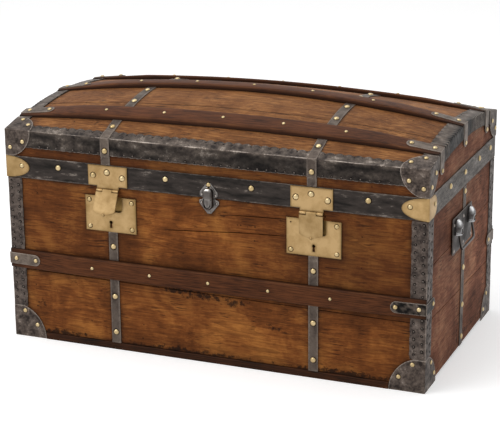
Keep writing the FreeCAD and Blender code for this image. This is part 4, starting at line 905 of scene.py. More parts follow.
# %% Slats
slat_low, slat_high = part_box("front_slat")
SLAT_WIDTH = slat_high.z - slat_low.z
SLAT_THICK = slat_high.y - slat_low.y
SLAT_LEVEL = (slat_low.z + slat_high.z) / 2
SLAT_FOOT = -slat_high.y
slat_points = node_points("front_slat")
slat_end_points = slat_points[slat_points[:, 0] > slat_high.x - TINY]
SLAT_END = (slat_high.y - slat_end_points[:, 1].min()) / SLAT_THICK
SLAT_ROUND = 4.2 * MM
SLAT_CROWN = 0.5 * MM
ROUND_STEPS, FLAT_STEPS = 5, 5
SLAT_STEP = 9 * MM
SLAT_TAPER = 120 * MM
SLAT_DARK_END = 25 * MM
SLAT_WANDER, WANDER_SIZE = 0.02, 90 * MM


def slat_outline():
    """Across and up, from the lower left corner over the top to the lower right one, with an edge mark."""
    half = SLAT_WIDTH / 2
    turn = np.linspace(0, math.pi / 2, ROUND_STEPS)
    left_across = -half + SLAT_ROUND * (1 - np.cos(turn))
    round_up = SLAT_THICK - SLAT_ROUND + SLAT_ROUND * np.sin(turn)
    flat = np.linspace(-half + SLAT_ROUND, half - SLAT_ROUND, FLAT_STEPS)[1:-1]
    across = np.concatenate([[-half], left_across, flat, -left_across[::-1], [half]])
    up = np.concatenate([[0], round_up, SLAT_THICK + 0 * flat, round_up[::-1], [0]])
    crown = SLAT_CROWN * (1 - (across / half) ** 2)
    worn = np.concatenate([[0], np.sin(2 * turn), 0 * flat, np.sin(2 * turn), [0]])
    return across, up - SLAT_CROWN + np.where(up > SLAT_THICK / 2, crown, SLAT_CROWN), worn


def swept_slat(node, place, seed):
    """place(along, across, up) gives the points of a slat from its outline."""
    low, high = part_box(node)
    along = spaced(low.x, high.x, SLAT_STEP)
    across, up, worn = slat_outline()
    wander = 1 - SLAT_WANDER * (1 + bumps(along, 0 * along, WANDER_SIZE, seed))
    across = across[None, :] * wander[:, None]
    from_end = (np.abs(along).max() - np.abs(along))[:, None]
    thinning = np.minimum(1, SLAT_END + (1 - SLAT_END) * from_end / SLAT_TAPER)
    up = np.where(up > 0, up * thinning, -IRON)
    rings = place(np.broadcast_to(along[:, None], across.shape), across, up)
    count = rings.shape[1]
    starts = np.arange(len(along) - 1)[:, None] * count
    first = starts + np.arange(count)
    beside = starts + np.roll(np.arange(count), -1)
    quads = np.stack([first, beside, beside + count, first + count], -1).reshape(-1, 4)
    work = bmesh.new()
    verts = [work.verts.new(point) for point in rings.reshape(-1, 3)]
    for quad in quads:
        work.faces.new([verts[i] for i in quad])
    work.faces.new(verts[:count])
    work.faces.new(verts[-count:])
    bmesh.ops.recalc_face_normals(work, faces=work.faces)
    mesh = mesh_of(work, "rounded_" + node)
    # Painted contact shade darkens the slat towards its foot on the wall, and it is darker towards its ends
    dirt_and_shade = 1 - np.clip(up / up.max(axis=1, keepdims=True), 0, 1)
    dirt_and_shade = dirt_and_shade + 0.7 * np.exp(-from_end / SLAT_DARK_END)
    mark(mesh, edge=np.tile(worn, len(along)), grime=np.clip(dirt_and_shade, 0, 1))
    smooth(mesh)
    attach(show("rounded_" + node, mesh, SLAT_WOOD), node)


for name, side in (("front", -1), ("back", 1)):
    swept_slat(
        name + "_slat",
        lambda x, across, up: np.stack([x, side * (SLAT_FOOT + up), SLAT_LEVEL + across], -1), 30)
for name in ("front", "middle", "back"):
    low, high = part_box("dome_slat_" + name)
    course = (low.y + high.y) / 2
    swept_slat(
        "dome_slat_" + name,
        lambda x, across, up: np.stack([x, course + across, dome(x, course + across) + IRON + up], -1), 31)
print("slats: five, %.1f x %.1f mm" % (SLAT_WIDTH / MM, SLAT_THICK / MM))

# %% [markdown]
# ** The bindings.** Sheet iron is folded over the long edges of the lid and nailed. Between two nails the
# free edge has curled up into a scallop, and the fold is rubbed pale, with a painted highlight along it.
# The sheet is drawn on the wood, from its free edge over the fold to its lower edge, then raised by its
# thickness and its dents along the normal. Rows are counted from the free edge, and a dent is given by
# its depth and its width in millimetres.

# %% Sheets bent over an edge
FOLD = 1.2 * MM
FOLD_STEPS = 5
ROW_GAP = 2.4 * MM
NOTCH = 1.0 * MM
CURLED_ROWS = 6
NOTCH_ROWS = 3


def folded(start, corner, end):
    """Points of a soft fold, a quadratic curve from start to end that leans to the corner."""
    share = np.linspace(0, 1, FOLD_STEPS)[:, None, None]
    return start * (1 - share) ** 2 + corner * 2 * share * (1 - share) + end * share ** 2


def run(start, end, steps):
    share = np.linspace(0, 1, steps)[:, None, None]
    return start + (end - start) * share


def over_the_edge(top, corner, lowest, side_steps):
    """The points of a binding on the wood: over the top, round the fold and down the side."""
    below = corner - [0, 0, FOLD]
    return np.concatenate([top, folded(top[-1], corner, below)[1:], run(below, lowest, side_steps)[1:]])


def hammered(u, v, dents, seed):
    return sum(depth * MM * bumps(u, v, size * MM, seed + i) for i, (depth, size) in enumerate(dents))


def from_row(rows, first, reach):
    """0 up to a row, and 1 from reach rows further on."""
    return np.clip((rows - first) / reach, 0, 1)


def ridge_at(rows, row, reach):
    return np.exp(-((rows - row) / reach) ** 2)


def notch_dirt(curl, rows):
    """Dirt round the nail in each notch of the free edge."""
    return 0.95 * np.clip(1 - 2.2 * curl, 0, 1) * (1 - from_row(rows, 0, NOTCH_ROWS))


# %% Long bindings
binding_low, binding_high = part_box("binding_front")
BINDING_TOP = binding_high.y + HALF_DEEP
BINDING_FLOOR = binding_low.z
SCALLOPS = round(2 * HALF_LONG / (17.2 * MM))
SCALLOP = 2 * HALF_LONG / SCALLOPS
SCALLOP_DEEP = 2.6 * MM
LOW_WAVE, LOW_WAVE_DEEP = 12.5 * MM, 0.9 * MM
LONG_STEP = 2.6 * MM
LONG_TOP_STEPS, LONG_SIDE_STEPS = 9, 13
LONG_FOLD_ROW, FOLD_REACH = 9.5, 1.1
LONG_DENTS = ((0.32, 17), (0.22, 6))
LONG_CURL, LONG_WAVE, LONG_RIDGE = 0.9 * MM, 0.35 * MM, 0.45 * MM
FREE_WORN, LOWER_WORN = 0.45, 0.7


def long_binding(name, side, seed):
    x = spaced(-HALF_LONG, HALF_LONG, LONG_STEP)
    curl = np.abs(np.sin(math.pi * (x + HALF_LONG) / SCALLOP))
    wave = np.abs(np.sin(math.pi * (x + HALF_LONG) / LOW_WAVE))
    free_y = HALF_DEEP - BINDING_TOP + NOTCH - SCALLOP_DEEP * curl
    top_y = free_y + (HALF_DEEP - FOLD - free_y) * np.linspace(0, 1, LONG_TOP_STEPS)[:, None]
    x_rows = np.broadcast_to(x, top_y.shape)
    top = np.stack([x_rows, side * top_y, dome(x_rows, top_y)], -1)
    corner = np.stack([x, side * HALF_DEEP + 0 * x, dome(x, HALF_DEEP)], -1)
    lowest = np.stack([x, side * HALF_DEEP + 0 * x, BINDING_FLOOR + LOW_WAVE_DEEP * (1 - wave)], -1)
    base = over_the_edge(top, corner, lowest, LONG_SIDE_STEPS)
    rows = np.arange(len(base))[:, None]
    u, v = np.broadcast_arrays(x[None, :], rows * ROW_GAP)
    ridge = ridge_at(rows, LONG_FOLD_ROW, FOLD_REACH)
    lift = hammered(u, v, LONG_DENTS, seed)
    lift += LONG_CURL * curl * (1 - from_row(rows, 0, CURLED_ROWS))
    lift += LONG_WAVE * wave * from_row(rows, 20, 4)
    lift += LONG_RIDGE * ridge * (0.5 + bumps(u, v, 40 * MM, seed + 2))
    outer = base + outward(base) * (IRON + lift)[..., None]
    # The edge mark is rubbed wear, and along the fold also a painted highlight
    edge = np.clip(ridge * (0.85 + 0.5 * bumps(u, v, 30 * MM, seed + 3)), 0, 1)
    edge = np.maximum(edge, np.where(rows == 0, FREE_WORN, 0))
    edge = np.maximum(edge, np.where(rows == len(base) - 1, LOWER_WORN, 0))
    darkened = (0.34 + 0.3 * bumps(u / 4, v, 9 * MM, seed + 4)) * from_row(rows, 11, 3)
    darkened = np.clip(darkened + notch_dirt(curl, rows), 0, 1)
    marks = {"edge": on_both(edge), "grime": on_both(darkened)}
    attach(sheet_piece("hammered_" + name, BINDING_IRON, (outer, base, marks)), name)


long_binding("binding_front", -1, 40)
long_binding("binding_back", 1, 50)
print("long bindings:", SCALLOPS, "scallops of", round(SCALLOP / MM, 1), "mm")

# %% [markdown]
# ** The end bindings.** The same iron bent round a curved edge has too much metal on the way down, so the
# smith crimped it into pleats. The pleats start at the fold, run down the end with painted shade in the
# narrow gaps between them and a painted highlight on their crests, and leave the lower edge wavy.

# %% End bindings
end_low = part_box("binding_right")[0]
END_TOP = HALF_LONG - end_low.x
END_DROP = LID_EDGE - end_low.z
END_STEP = 1.5 * MM
END_TOP_STEPS, END_SIDE_STEPS = 10, 12
END_FOLD_ROW = 10.5
END_DENTS = ((0.3, 15), (0.2, 6))
END_SCALLOP = 1.0 * MM
END_CURL = 0.8 * MM
PLEAT = 9 * MM
PLEAT_LIFT, PLEAT_DROP = 1.2 * MM, 1.8 * MM


def end_binding(name, side, seed):
    reach = HALF_DEEP - BINDING_TOP
    y = spaced(-reach, reach, END_STEP)
    curl = np.abs(np.sin(math.pi * y / SCALLOP))
    pleat = np.sqrt(0.5 + 0.5 * np.sin(2 * math.pi * y / PLEAT + 2.6 * bumps(y, 0 * y, 26 * MM, seed)))
    pleat = pleat * np.clip(0.85 + 0.4 * bumps(y, 0 * y, 30 * MM, seed + 3), 0.4, 1)
    free_x = HALF_LONG - END_TOP + NOTCH - END_SCALLOP * curl
    top_x = free_x + (HALF_LONG - FOLD - free_x) * np.linspace(0, 1, END_TOP_STEPS)[:, None]
    y_rows = np.broadcast_to(y, top_x.shape)
    top = np.stack([side * top_x, y_rows, dome(top_x, y_rows)], -1)
    crest = dome(HALF_LONG, y)
    corner = np.stack([side * HALF_LONG + 0 * y, y, crest], -1)
    lowest = np.stack([side * HALF_LONG + 0 * y, y, crest - END_DROP + PLEAT_DROP * pleat], -1)
    base = over_the_edge(top, corner, lowest, END_SIDE_STEPS)
    rows = np.arange(len(base))[:, None]
    u, v = np.broadcast_arrays(y[None, :], rows * ROW_GAP)
    lift = hammered(u, v, END_DENTS, seed + 1)
    lift += END_CURL * curl * (1 - from_row(rows, 0, CURLED_ROWS))
    lift += PLEAT_LIFT * pleat * from_row(rows, 8, 4)
    outer = base + outward(base) * (IRON + lift)[..., None]
    # Painted highlight on the pleat crests and the fold, painted shade in the gaps between pleats
    pleated = from_row(rows, 6, 4)
    edge = np.clip(ridge_at(rows, END_FOLD_ROW, FOLD_REACH) * 0.3 + 0.6 * pleat ** 2 * pleated, 0, 1)
    darkened = np.clip(1.4 * (1 - pleat) ** 1.6 * pleated + notch_dirt(curl, rows), 0, 1)
    marks = {"edge": on_both(edge), "grime": on_both(darkened)}
    attach(sheet_piece("pleated_" + name, END_IRON, (outer, base, marks)), name)


end_binding("binding_right", 1, 60)
end_binding("binding_left", -1, 70)
print("end bindings: pleats of", round(PLEAT / MM, 1), "mm, drop", round(END_DROP / MM, 1), "mm")

# %% [markdown]
# **The corner edgings.** An angle of iron guards each upright corner. It is made like the bindings: from
# its free edge on the front, round the corner, to its free edge on the end. One corner is drawn, and
# signs put it on all four. The two front ones are one node in the solids, so they stay one piece here.

# %% Corner edgings
edging_boxes = piece_boxes("corner_edgings_front")
right_edging = max(edging_boxes, key=lambda box: box[0][0])
EDGING_FRONT = HALF_LONG - right_edging[0][0]
EDGING_END = right_edging[1][1] + HALF_DEEP
EDGING_LOW, EDGING_HIGH = right_edging[0][2], right_edging[1][2]
EDGING_STEP, EDGING_ROW_GAP = 3 * MM, 2.8 * MM
EDGING_STEPS = 11
EDGING_RAGGED = 0.8 * MM
EDGING_DENTS = ((0.22, 14), (0.14, 5))
EDGING_WORN = 0.5


def corner_edging(side, face, seed):
    """Outer and inner grids and marks: side is -1 or 1 along X, face is -1 or 1 along Y."""
    z = spaced(EDGING_LOW, EDGING_HIGH, EDGING_STEP)
    ragged = EDGING_RAGGED * bumps(z, 0 * z, 9 * MM, seed)
    plan = (
        (HALF_LONG - EDGING_FRONT + ragged, HALF_DEEP), (HALF_LONG - FOLD, HALF_DEEP),
        (HALF_LONG, HALF_DEEP), (HALF_LONG, HALF_DEEP - FOLD),
        (HALF_LONG, HALF_DEEP - EDGING_END - ragged),
    )
    start, before, corner, after, stop = (np.stack([x + 0 * z, y + 0 * z, z], -1) for x, y in plan)
    on_front, on_the_end = run(start, before, EDGING_STEPS), run(after, stop, EDGING_STEPS)
    base = np.concatenate([on_front, folded(before, corner, after)[1:], on_the_end[1:]]) * [side, face, 1]
    rows = np.arange(len(base))[:, None]
    u, v = np.broadcast_arrays(z[None, :], rows * EDGING_ROW_GAP)
    lift = hammered(u, v, EDGING_DENTS, seed + 1)
    outer = base + outward(base) * (IRON + lift)[..., None]
    # The pale line round the corner is rubbed wear and a painted highlight; the free edges are worn
    edge = np.clip(ridge_at(rows, 12, 1.3) * (0.75 + 0.5 * bumps(u, v, 30 * MM, seed + 3)), 0, 1)
    edge = np.maximum(edge, np.where((rows == 0) | (rows == len(base) - 1), EDGING_WORN, 0))
    return outer, base, {"edge": on_both(edge)}


for name, face in (("front", -1), ("back", 1)):
    sheets = [corner_edging(side, face, 80 + side + 3 * face) for side in (-1, 1)]
    attach(sheet_piece("hammered_edgings_" + name, EDGING_IRON, *sheets), "corner_edgings_" + name)
print("edgings: %.0f mm on the front, %.0f mm on the end" % (EDGING_FRONT / MM, EDGING_END / MM))

# %% [markdown]
# **Plates, caps, straps and castings.** The solids already have the right shape, but their edges are
# perfectly sharp, and sharp edges catch no light. A copy of each is welded, its flat faces are made whole,
# its edges are eased with a small bevel, and it is sliced into cells so that the edge mark can fade over a
# short way. Thin pressed iron also gets a little unevenness, the same on both faces, so that it keeps its
# thickness. A fixed seed makes it the same on each run.

# %% Eased copies of the solids
FLAT = math.radians(0.6)
HARD_EDGE = math.radians(28)
EDGE_FADE = 1.6 * MM
SAMPLE_STEP = 1.0 * MM
DENT_SIZE = 18 * MM
DENT_SEED = 5


def sharp_edges(work):
    return [edge for edge in work.edges if len(edge.link_faces) == 2 and edge.calc_face_angle() > HARD_EDGE]


def highlight_way(point):
    """The way a painted highlight faces: up, and out from the wall, and towards the front as well at the
    ends.
    """
    outward_way = Vector((math.copysign(1, point.x), -0.8, 0))
    if abs(point.x) < HALF_LONG:
        outward_way = Vector((0, math.copysign(1, point.y), 0))
    return (outward_way + Vector((0, 0, 1))).normalized()


def eased_copy(node, material, bevel, cell, dent):
    work = welded(node)
    bmesh.ops.dissolve_limit(work, angle_limit=FLAT, verts=work.verts, edges=work.edges)
    hard = sharp_edges(work)
    samples = []
    for edge in hard:
        start, end = (vert.co.copy() for vert in edge.verts)
        steps = max(1, math.ceil((end - start).length / SAMPLE_STEP))
        samples += [start.lerp(end, step / steps) for step in range(steps + 1)]
    if hard and bevel:
        bmesh.ops.bevel(
            work, geom=hard, offset=bevel, offset_type="OFFSET", segments=2, profile=0.5,
            affect="EDGES", clamp_overlap=True)
    low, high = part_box(node)
    for axis in range(3):
        direction = Vector([float(axis == i) for i in range(3)])
        for level in np.arange(low[axis] + cell / 2, high[axis], cell):
            everything = work.verts[:] + work.edges[:] + work.faces[:]
            bmesh.ops.bisect_plane(work, geom=everything, plane_co=direction * level, plane_no=direction)
    tree = kdtree.KDTree(len(samples))
    for index, point in enumerate(samples):
        tree.insert(point, index)
    tree.balance()
    edges = [math.exp(-tree.find(vert.co)[2] / EDGE_FADE) if samples else 0.0 for vert in work.verts]
    work.normal_update()
    # A painted highlight on the faces that turn towards that way
    polish = [max(0.0, vert.normal.dot(highlight_way(vert.co))) for vert in work.verts]
    for vert in work.verts:
        vert.co += noise.noise_vector(vert.co / DENT_SIZE) * dent
    mesh = mesh_of(work, "eased_" + node)
    mark(mesh, edge=edges, polish=polish)
    smooth(mesh)
    piece = show("eased_" + node, mesh, material)
    piece.modifiers.new("flat faces stay flat", "WEIGHTED_NORMAL").keep_sharp = True
    settle(piece)
    attach(piece, node)


# %% [markdown]
# One list says which solid gets which finish, how far its edges are eased and how small its cells are.

# %% Finishes of the solids
THIN, PLATE, CAST = 0.35 * MM, 0.55 * MM, 0.7 * MM
SMALL, MEDIUM, LARGE = 4 * MM, 7 * MM, 14 * MM
EASED = [
    (STRAP_IRON, THIN, MEDIUM, 0.12 * MM, ("front_straps", "back_straps", "end_straps")),
    (STRAP_IRON, THIN, MEDIUM, 0.0, ("dome_strap_left", "dome_strap_right")),
    (CLIP_IRON, THIN, SMALL, 0.12 * MM, ("body_slat_clips", "lid_slat_clips")),
    (CAP_IRON, THIN, SMALL, 0.3 * MM, ("lid_caps_front", "lid_caps_back")),
    (CAP_IRON, THIN, SMALL, 0.25 * MM, ("base_caps_front", "base_caps_back")),
    (BAND_IRON, THIN, LARGE, 0.0, ("lid_band",)),
    (CORNER_BRASS, THIN, SMALL, 0.0, ("band_corners",)),
    (PLATE_BRASS, PLATE, SMALL, 0.0, ("lock_plate_left", "lock_plate_right", "hasp_plates")),
    (HASP_BRASS, PLATE, SMALL, 0.0, ("hasp_left", "hasp_right")),
    (DOWEL_STEEL, THIN, SMALL, 0.0, ("dowel_upper", "dowel_lower", "dowel_tongue")),
    (PLATE_IRON, PLATE, SMALL, 0.0, ("handle_plate_left", "handle_plate_right")),
    (EAR_STEEL, THIN, SMALL, 0.0, ("handle_ears",)),
    (HANDLE_STEEL, 0.0, MEDIUM, 0.0, ("handle_left", "handle_right")),
    (PLATE_IRON, PLATE, MEDIUM, 0.0, ("body_hinge_leaves", "lid_hinge_leaves")),
    (RAIL_WOOD, CAST, LARGE, 0.0, ("base_rail_front", "base_rail_back")),
]
UNCHANGED = {
    "base_board": RAIL_WOOD, "lock_cases": CASE_BRASS, "hasp_pins": PIN_BRASS, "hinge_pins": HANDLE_STEEL,
}
noise.seed_set(DENT_SEED)
for material, bevel, cell, dent, names in EASED:
    for name in names:
        eased_copy(name, material, bevel, cell, dent)
for name, material in UNCHANGED.items():
    nodes[name].data.materials.clear()
    nodes[name].data.materials.append(material)
print("eased:", sum(len(row[-1]) for row in EASED), "solids; kept as they are:", len(UNCHANGED))

# %% [markdown]
# ** Signs of use.** A few places differ from the rest. The clip at the front right is blackened in
# patches, and the band's end faces are painted paler, a painted sheen. The brass corners are clean along
# their fold, and the left one is duller. The right lock plate has lost a nail, so a bare hole is cut in
# its upper left corner.

# %% Signs of use
CLIP_BLACK_SIZE, CLIP_BLACK_SEED = 5 * MM, 97
CLIP_BLACK_LEAST, CLIP_BLACK_MOST = 0.05, 0.68
BAND_EDGE, BAND_END_SHEEN = 0.75, 0.53
CLEAN_FOLD = 2 * MM
LEFT_DULL = 0.3
NAIL_HOLE = 1.5 * MM
BARE_CORNER = (157.3 * MM, -HALF_DEEP, 288.7 * MM)


def edge_mark(mesh):
    values = np.empty(len(mesh.vertices), np.float32)
    mesh.attributes["edge"].data.foreach_get("value", values)
    return values


clips = bpy.data.objects["eased_body_slat_clips"].data
x, y, z = points_of(clips).T
blackening = 0.55 + 0.6 * bumps(x, z, CLIP_BLACK_SIZE, CLIP_BLACK_SEED)
blackening = np.clip(blackening, CLIP_BLACK_LEAST, CLIP_BLACK_MOST)
mark(clips, grime=blackening * ((x > 0) & (y < 0)))

# A painted sheen on the band's end faces, through its edge mark
band = bpy.data.objects["eased_lid_band"].data
on_the_ends = np.abs(points_of(band)[:, 0]) > HALF_LONG
mark(band, edge=np.maximum(BAND_EDGE * edge_mark(band), BAND_END_SHEEN * on_the_ends))

brass_corners = bpy.data.objects["eased_band_corners"].data
x, y, z = points_of(brass_corners).T
off_the_fold = np.maximum(HALF_LONG - np.abs(x), HALF_DEEP + y) > CLEAN_FOLD
mark(brass_corners, edge=np.maximum(edge_mark(brass_corners) * off_the_fold, LEFT_DULL * (x < 0)))

bpy.ops.mesh.primitive_cylinder_add(
    vertices=12, radius=NAIL_HOLE, depth=20 * MM, location=BARE_CORNER, rotation=(math.pi / 2, 0, 0))
cut_out(bpy.data.objects["eased_lock_plate_right"], [bpy.context.object])
print("signs of use: a black clip, a paler band, two clean corners and a bare hole")

# %% [markdown]
# ** Heads of tacks and nails.** One small turned shape, placed hundreds of times, is work for Geometry
# Nodes. A head is a profile turned round its axis, with a mark for its dark rim: dirt, and a painted
# shadow round the head. The tree takes points that know which way is out, or rows that it divides by a
# pitch, sets a head on each with a slight tilt and an uneven size, and makes them real.

# %% The shape of a head
TACK_PROFILE = (
    (0.0, 1.0), (0.34, 0.955), (0.62, 0.81), (0.84, 0.56), (0.97, 0.2), (1.0, 0.06), (1.16, 0.03),
)
# How dark each ring of a tack or nail head is: dirt, and a painted shadow round the head
TACK_DIRT_AND_SHADOW = (0.0, 0.0, 0.0, 0.0, 0.15, 1.0, 1.0)
TACK_SIDES = 14
NAIL_PROFILE = ((0.0, 1.0), (0.5, 0.85), (0.66, 0.3), (1.0, 0.05))
NAIL_DIRT_AND_SHADOW = (0.0, 0.15, 1.0, 1.0)
NAIL_SIDES = 8
HEAD_SHARP = math.radians(60)


def turned_head(name, profile, rim, sides):
    work = bmesh.new()
    rims = work.verts.layers.float.new("rim")
    rings = []
    for (radius, height), dirt_and_shade in zip(profile, rim):
        ring = []
        for turn in range(sides if radius else 1):
            angle = 2 * math.pi * turn / sides
            vert = work.verts.new((radius * math.cos(angle), radius * math.sin(angle), height))
            vert[rims] = dirt_and_shade
            ring.append(vert)
        rings.append(ring)
    for upper, lower in zip(rings, rings[1:]):
        for turn in range(sides):
            after = (turn + 1) % sides
            corners = [upper[turn % len(upper)], lower[turn], lower[after], upper[after % len(upper)]]
            work.faces.new(dict.fromkeys(corners))
    work.faces.new(rings[-1][::-1])
    bmesh.ops.recalc_face_normals(work, faces=work.faces)
    mesh = mesh_of(work, name)
    smooth(mesh, HEAD_SHARP)
    return add_object(name, mesh)


# %% The tree that sets heads
HEAD_INPUTS = (
    ("Pitch", "NodeSocketFloat"), ("Width", "NodeSocketFloat"), ("Height", "NodeSocketFloat"),
    ("Uneven", "NodeSocketFloat"), ("Tilt", "NodeSocketFloat"), ("Seed", "NodeSocketInt"),
    ("Head", "NodeSocketObject"), ("Finish", "NodeSocketMaterial"),
)


def head_tree(name, in_rows):
    tree = bpy.data.node_groups.new(name, "GeometryNodeTree")
    tree.interface.new_socket("Geometry", in_out="INPUT", socket_type="NodeSocketGeometry")
    for label, kind in HEAD_INPUTS:
        tree.interface.new_socket(label, in_out="INPUT", socket_type=kind)
    tree.interface.new_socket("Geometry", in_out="OUTPUT", socket_type="NodeSocketGeometry")
    given = add_node(tree, "NodeGroupInput", out=None)
    places = given["Geometry"]
    if in_rows:
        rows = add_node(tree, "GeometryNodeMeshToCurve", {"Mesh": places})
        places = add_node(
            tree, "GeometryNodeResampleCurve", {"Curve": rows, "Length": given["Pitch"]}, mode="LENGTH")
    facing = add_node(tree, "GeometryNodeInputNamedAttribute", {"Name": "facing"}, data_type="FLOAT_VECTOR")
    size = add_node(tree, "GeometryNodeInputNamedAttribute", {"Name": "size"}, data_type="FLOAT")
    least = add_node(tree, "ShaderNodeVectorMath", {0: given["Tilt"], 1: (-1, -1, 0)}, operation="MULTIPLY")
    most = add_node(tree, "ShaderNodeVectorMath", {0: given["Tilt"], 1: (1, 1, 0)}, operation="MULTIPLY")
    lean = add_node(
        tree, "FunctionNodeRandomValue", {"Min": least, "Max": most, "Seed": given["Seed"]},
        data_type="FLOAT_VECTOR")
    upright = add_node(tree, "FunctionNodeAlignRotationToVector", {"Vector": facing}, axis="Z")
    leaning = add_node(
        tree, "FunctionNodeRotateRotation", {"Rotation": upright, "Rotate By": lean}, rotation_space="LOCAL")
    smallest = add_node(tree, "ShaderNodeMath", {0: 1.0, 1: given["Uneven"]}, operation="SUBTRACT")
    uneven = add_node(
        tree, "FunctionNodeRandomValue", {2: smallest, 3: 1.0, "Seed": given["Seed"]}, 1, data_type="FLOAT")
    uneven = add_node(tree, "ShaderNodeMath", {0: uneven, 1: size}, operation="MULTIPLY")
    shape = add_node(
        tree, "ShaderNodeCombineXYZ", {"X": given["Width"], "Y": given["Width"], "Z": given["Height"]})
    scale = add_node(tree, "ShaderNodeVectorMath", {0: shape, "Scale": uneven}, operation="SCALE")
    head = add_node(tree, "GeometryNodeObjectInfo", {"Object": given["Head"]}, "Geometry")
    heads = add_node(
        tree, "GeometryNodeInstanceOnPoints",
        {"Points": places, "Instance": head, "Rotation": leaning, "Scale": scale})
    real = add_node(tree, "GeometryNodeRealizeInstances", {"Geometry": heads})
    finished = add_node(tree, "GeometryNodeSetMaterial", {"Geometry": real, "Material": given["Finish"]})
    add_node(tree, "NodeGroupOutput", {"Geometry": finished}, None)
    return tree


def set_heads(name, places, edges, outs, sizes, tree, **inputs):
    """Runs the tree on points that carry their outward direction and size, and keeps the plain mesh."""
    mesh = bpy.data.meshes.new(name + "_places")
    mesh.from_pydata(places, edges, [])
    directions = mesh.attributes.new("facing", "FLOAT_VECTOR", "POINT")
    directions.data.foreach_set("vector", np.ravel(outs).astype(np.float32))
    mark(mesh, size=sizes)
    piece = add_object(name, mesh)
    modifier = piece.modifiers.new("heads", "NODES")
    modifier.node_group = tree
    for item in tree.interface.items_tree:
        if item.in_out == "INPUT" and item.name in inputs:
            modifier[item.identifier] = inputs[item.name]
    settle(piece)
    return piece


# %% [markdown]
# **Tacks and rivets.** The solids hold each head as a plain cap. The largest flat face of a cap is the
# one it sits on, which gives its centre and its outward direction, so the turned brass heads land in the
# same places at the same sizes. The ones that hold the dowel and the handles are steel.

# %% Tacks
STUD_STEEL = aged_brass("turned_stud_steel", "#9c948e", "#7c746e", "#0d0b0a", "rim", 1.0, 0.3)
TACK_WIDTH = 5.6 * MM
TACK_HEIGHT = 3.2 * MM
TACK_UNEVEN, TACK_TILT = 0.05, 0.05


def head_places(node):
    places, outs, sizes = [], [], []
    work = welded(node)
    for island in islands(work):
        seat = max(island, key=lambda face: face.calc_area())
        inward = seat.normal.copy()
        points = np.array([vert.co for face in island for vert in face.verts])
        heights = points @ np.array(inward)
        on_seat = points[heights > heights.max() - WELD]
        middle = (on_seat.max(axis=0) + on_seat.min(axis=0)) / 2
        places.append(middle)
        outs.append(-inward)
        sizes.append(np.linalg.norm(on_seat - middle, axis=1).max() / TACK_WIDTH)
    work.free()
    return places, outs, sizes


tack_head = turned_head("tack_head", TACK_PROFILE, TACK_DIRT_AND_SHADOW, TACK_SIDES)
scattered = head_tree("heads_on_places", False)
SMALLEST_TACK = 0.45
plate_low, plate_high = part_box("handle_plate_right")


def is_steel(head):
    """The small heads on the dowel's plates, and those on the handle plates."""
    (x, y, z), _, size = head
    on_plate = plate_low.y < y < plate_high.y and plate_low.z < z < plate_high.z
    return size <= SMALLEST_TACK or (abs(x) > HALF_LONG and on_plate)


for node in ("body_tacks", "lid_tacks"):
    found = list(zip(*head_places(node)))
    brass = [head for head in found if not is_steel(head)]
    steel = [head for head in found if is_steel(head)]
    for kind, group, finish in (("brass_", brass, TACK_BRASS), ("steel_", steel, STUD_STEEL)):
        places, outs, sizes = zip(*group)
        heads = set_heads(
            kind + node, places, [], outs, sizes, scattered, Width=TACK_WIDTH, Height=TACK_HEIGHT,
            Uneven=TACK_UNEVEN, Tilt=TACK_TILT, Seed=4, Head=tack_head, Finish=finish)
        attach(heads, node)
    print(node, len(brass), "brass heads,", len(steel), "steel heads")
bpy.data.objects.remove(tack_head)

# %% [markdown]
# **Small nails.** Two rows of iron nails run down each side of the corner edgings, and closer ones hold
# the edges of the bindings. Each row is drawn as a line just proud of the iron, and the tree divides it
# by its pitch. On the bindings the pitch is the scallops' own, so that each nail sits in a notch.

# %% Nails in rows
NAIL_IRON = aged_brass("blackened_nail_iron", "#615953", "#48413d", "#0d0b0a", "rim", 1.0, 0.42)
NAIL_WIDTH = 3.3 * MM
NAIL_HEIGHT = 1.1 * MM
NAIL_UNEVEN, NAIL_TILT = 0.2, 0.12
PROUD = IRON + 0.05 * MM
nail_head = turned_head("nail_head", NAIL_PROFILE, NAIL_DIRT_AND_SHADOW, NAIL_SIDES)
in_rows = head_tree("heads_in_rows", True)


class Rows:
    """Lines of points that nails are set along."""

    def __init__(self):
        self.places, self.outs, self.edges = [], [], []

    def add(self, places, out):
        first = len(self.places)
        self.places += [tuple(place) for place in places]
        self.outs += [out] * len(places)
        self.edges += [(first + i, first + i + 1) for i in range(len(places) - 1)]


def nailed(name, rows, size, pitch, seed):
    return set_heads(
        name, rows.places, rows.edges, rows.outs, [size] * len(rows.places), in_rows, Pitch=pitch,
        Width=NAIL_WIDTH, Height=NAIL_HEIGHT, Uneven=NAIL_UNEVEN, Tilt=NAIL_TILT, Seed=seed, Head=nail_head,
        Finish=NAIL_IRON)


# %% Nails of the edgings
EDGING_PITCH = 14.2 * MM
HALF_PITCH = EDGING_PITCH / 2
LOWEST_NAIL, HIGHEST_NAIL = EDGING_LOW + 9 * MM, EDGING_HIGH - 6 * MM
FRONT_ROWS = ((20.6 * MM, 0), (6 * MM, HALF_PITCH))
END_ROWS = ((23 * MM, 0), (7 * MM, HALF_PITCH))
edging_rows = Rows()
for side in (-1, 1):
    for face in (-1, 1):
        rows = [
            (side * (HALF_LONG - inset), face * (HALF_DEEP + PROUD), shift, (0, face, 0))
            for inset, shift in FRONT_ROWS
        ]
        rows += [
            (side * (HALF_LONG + PROUD), face * (HALF_DEEP - inset), shift, (side, 0, 0))
            for inset, shift in END_ROWS
        ]
        for x, y, shift, out in rows:
            low, high = LOWEST_NAIL + shift, HIGHEST_NAIL + shift - HALF_PITCH
            edging_rows.add([(x, y, low), (x, y, high)], out)
edging_nails = nailed("edging_nails", edging_rows, 1.0, EDGING_PITCH, 8)
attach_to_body(edging_nails, "trunk_body")

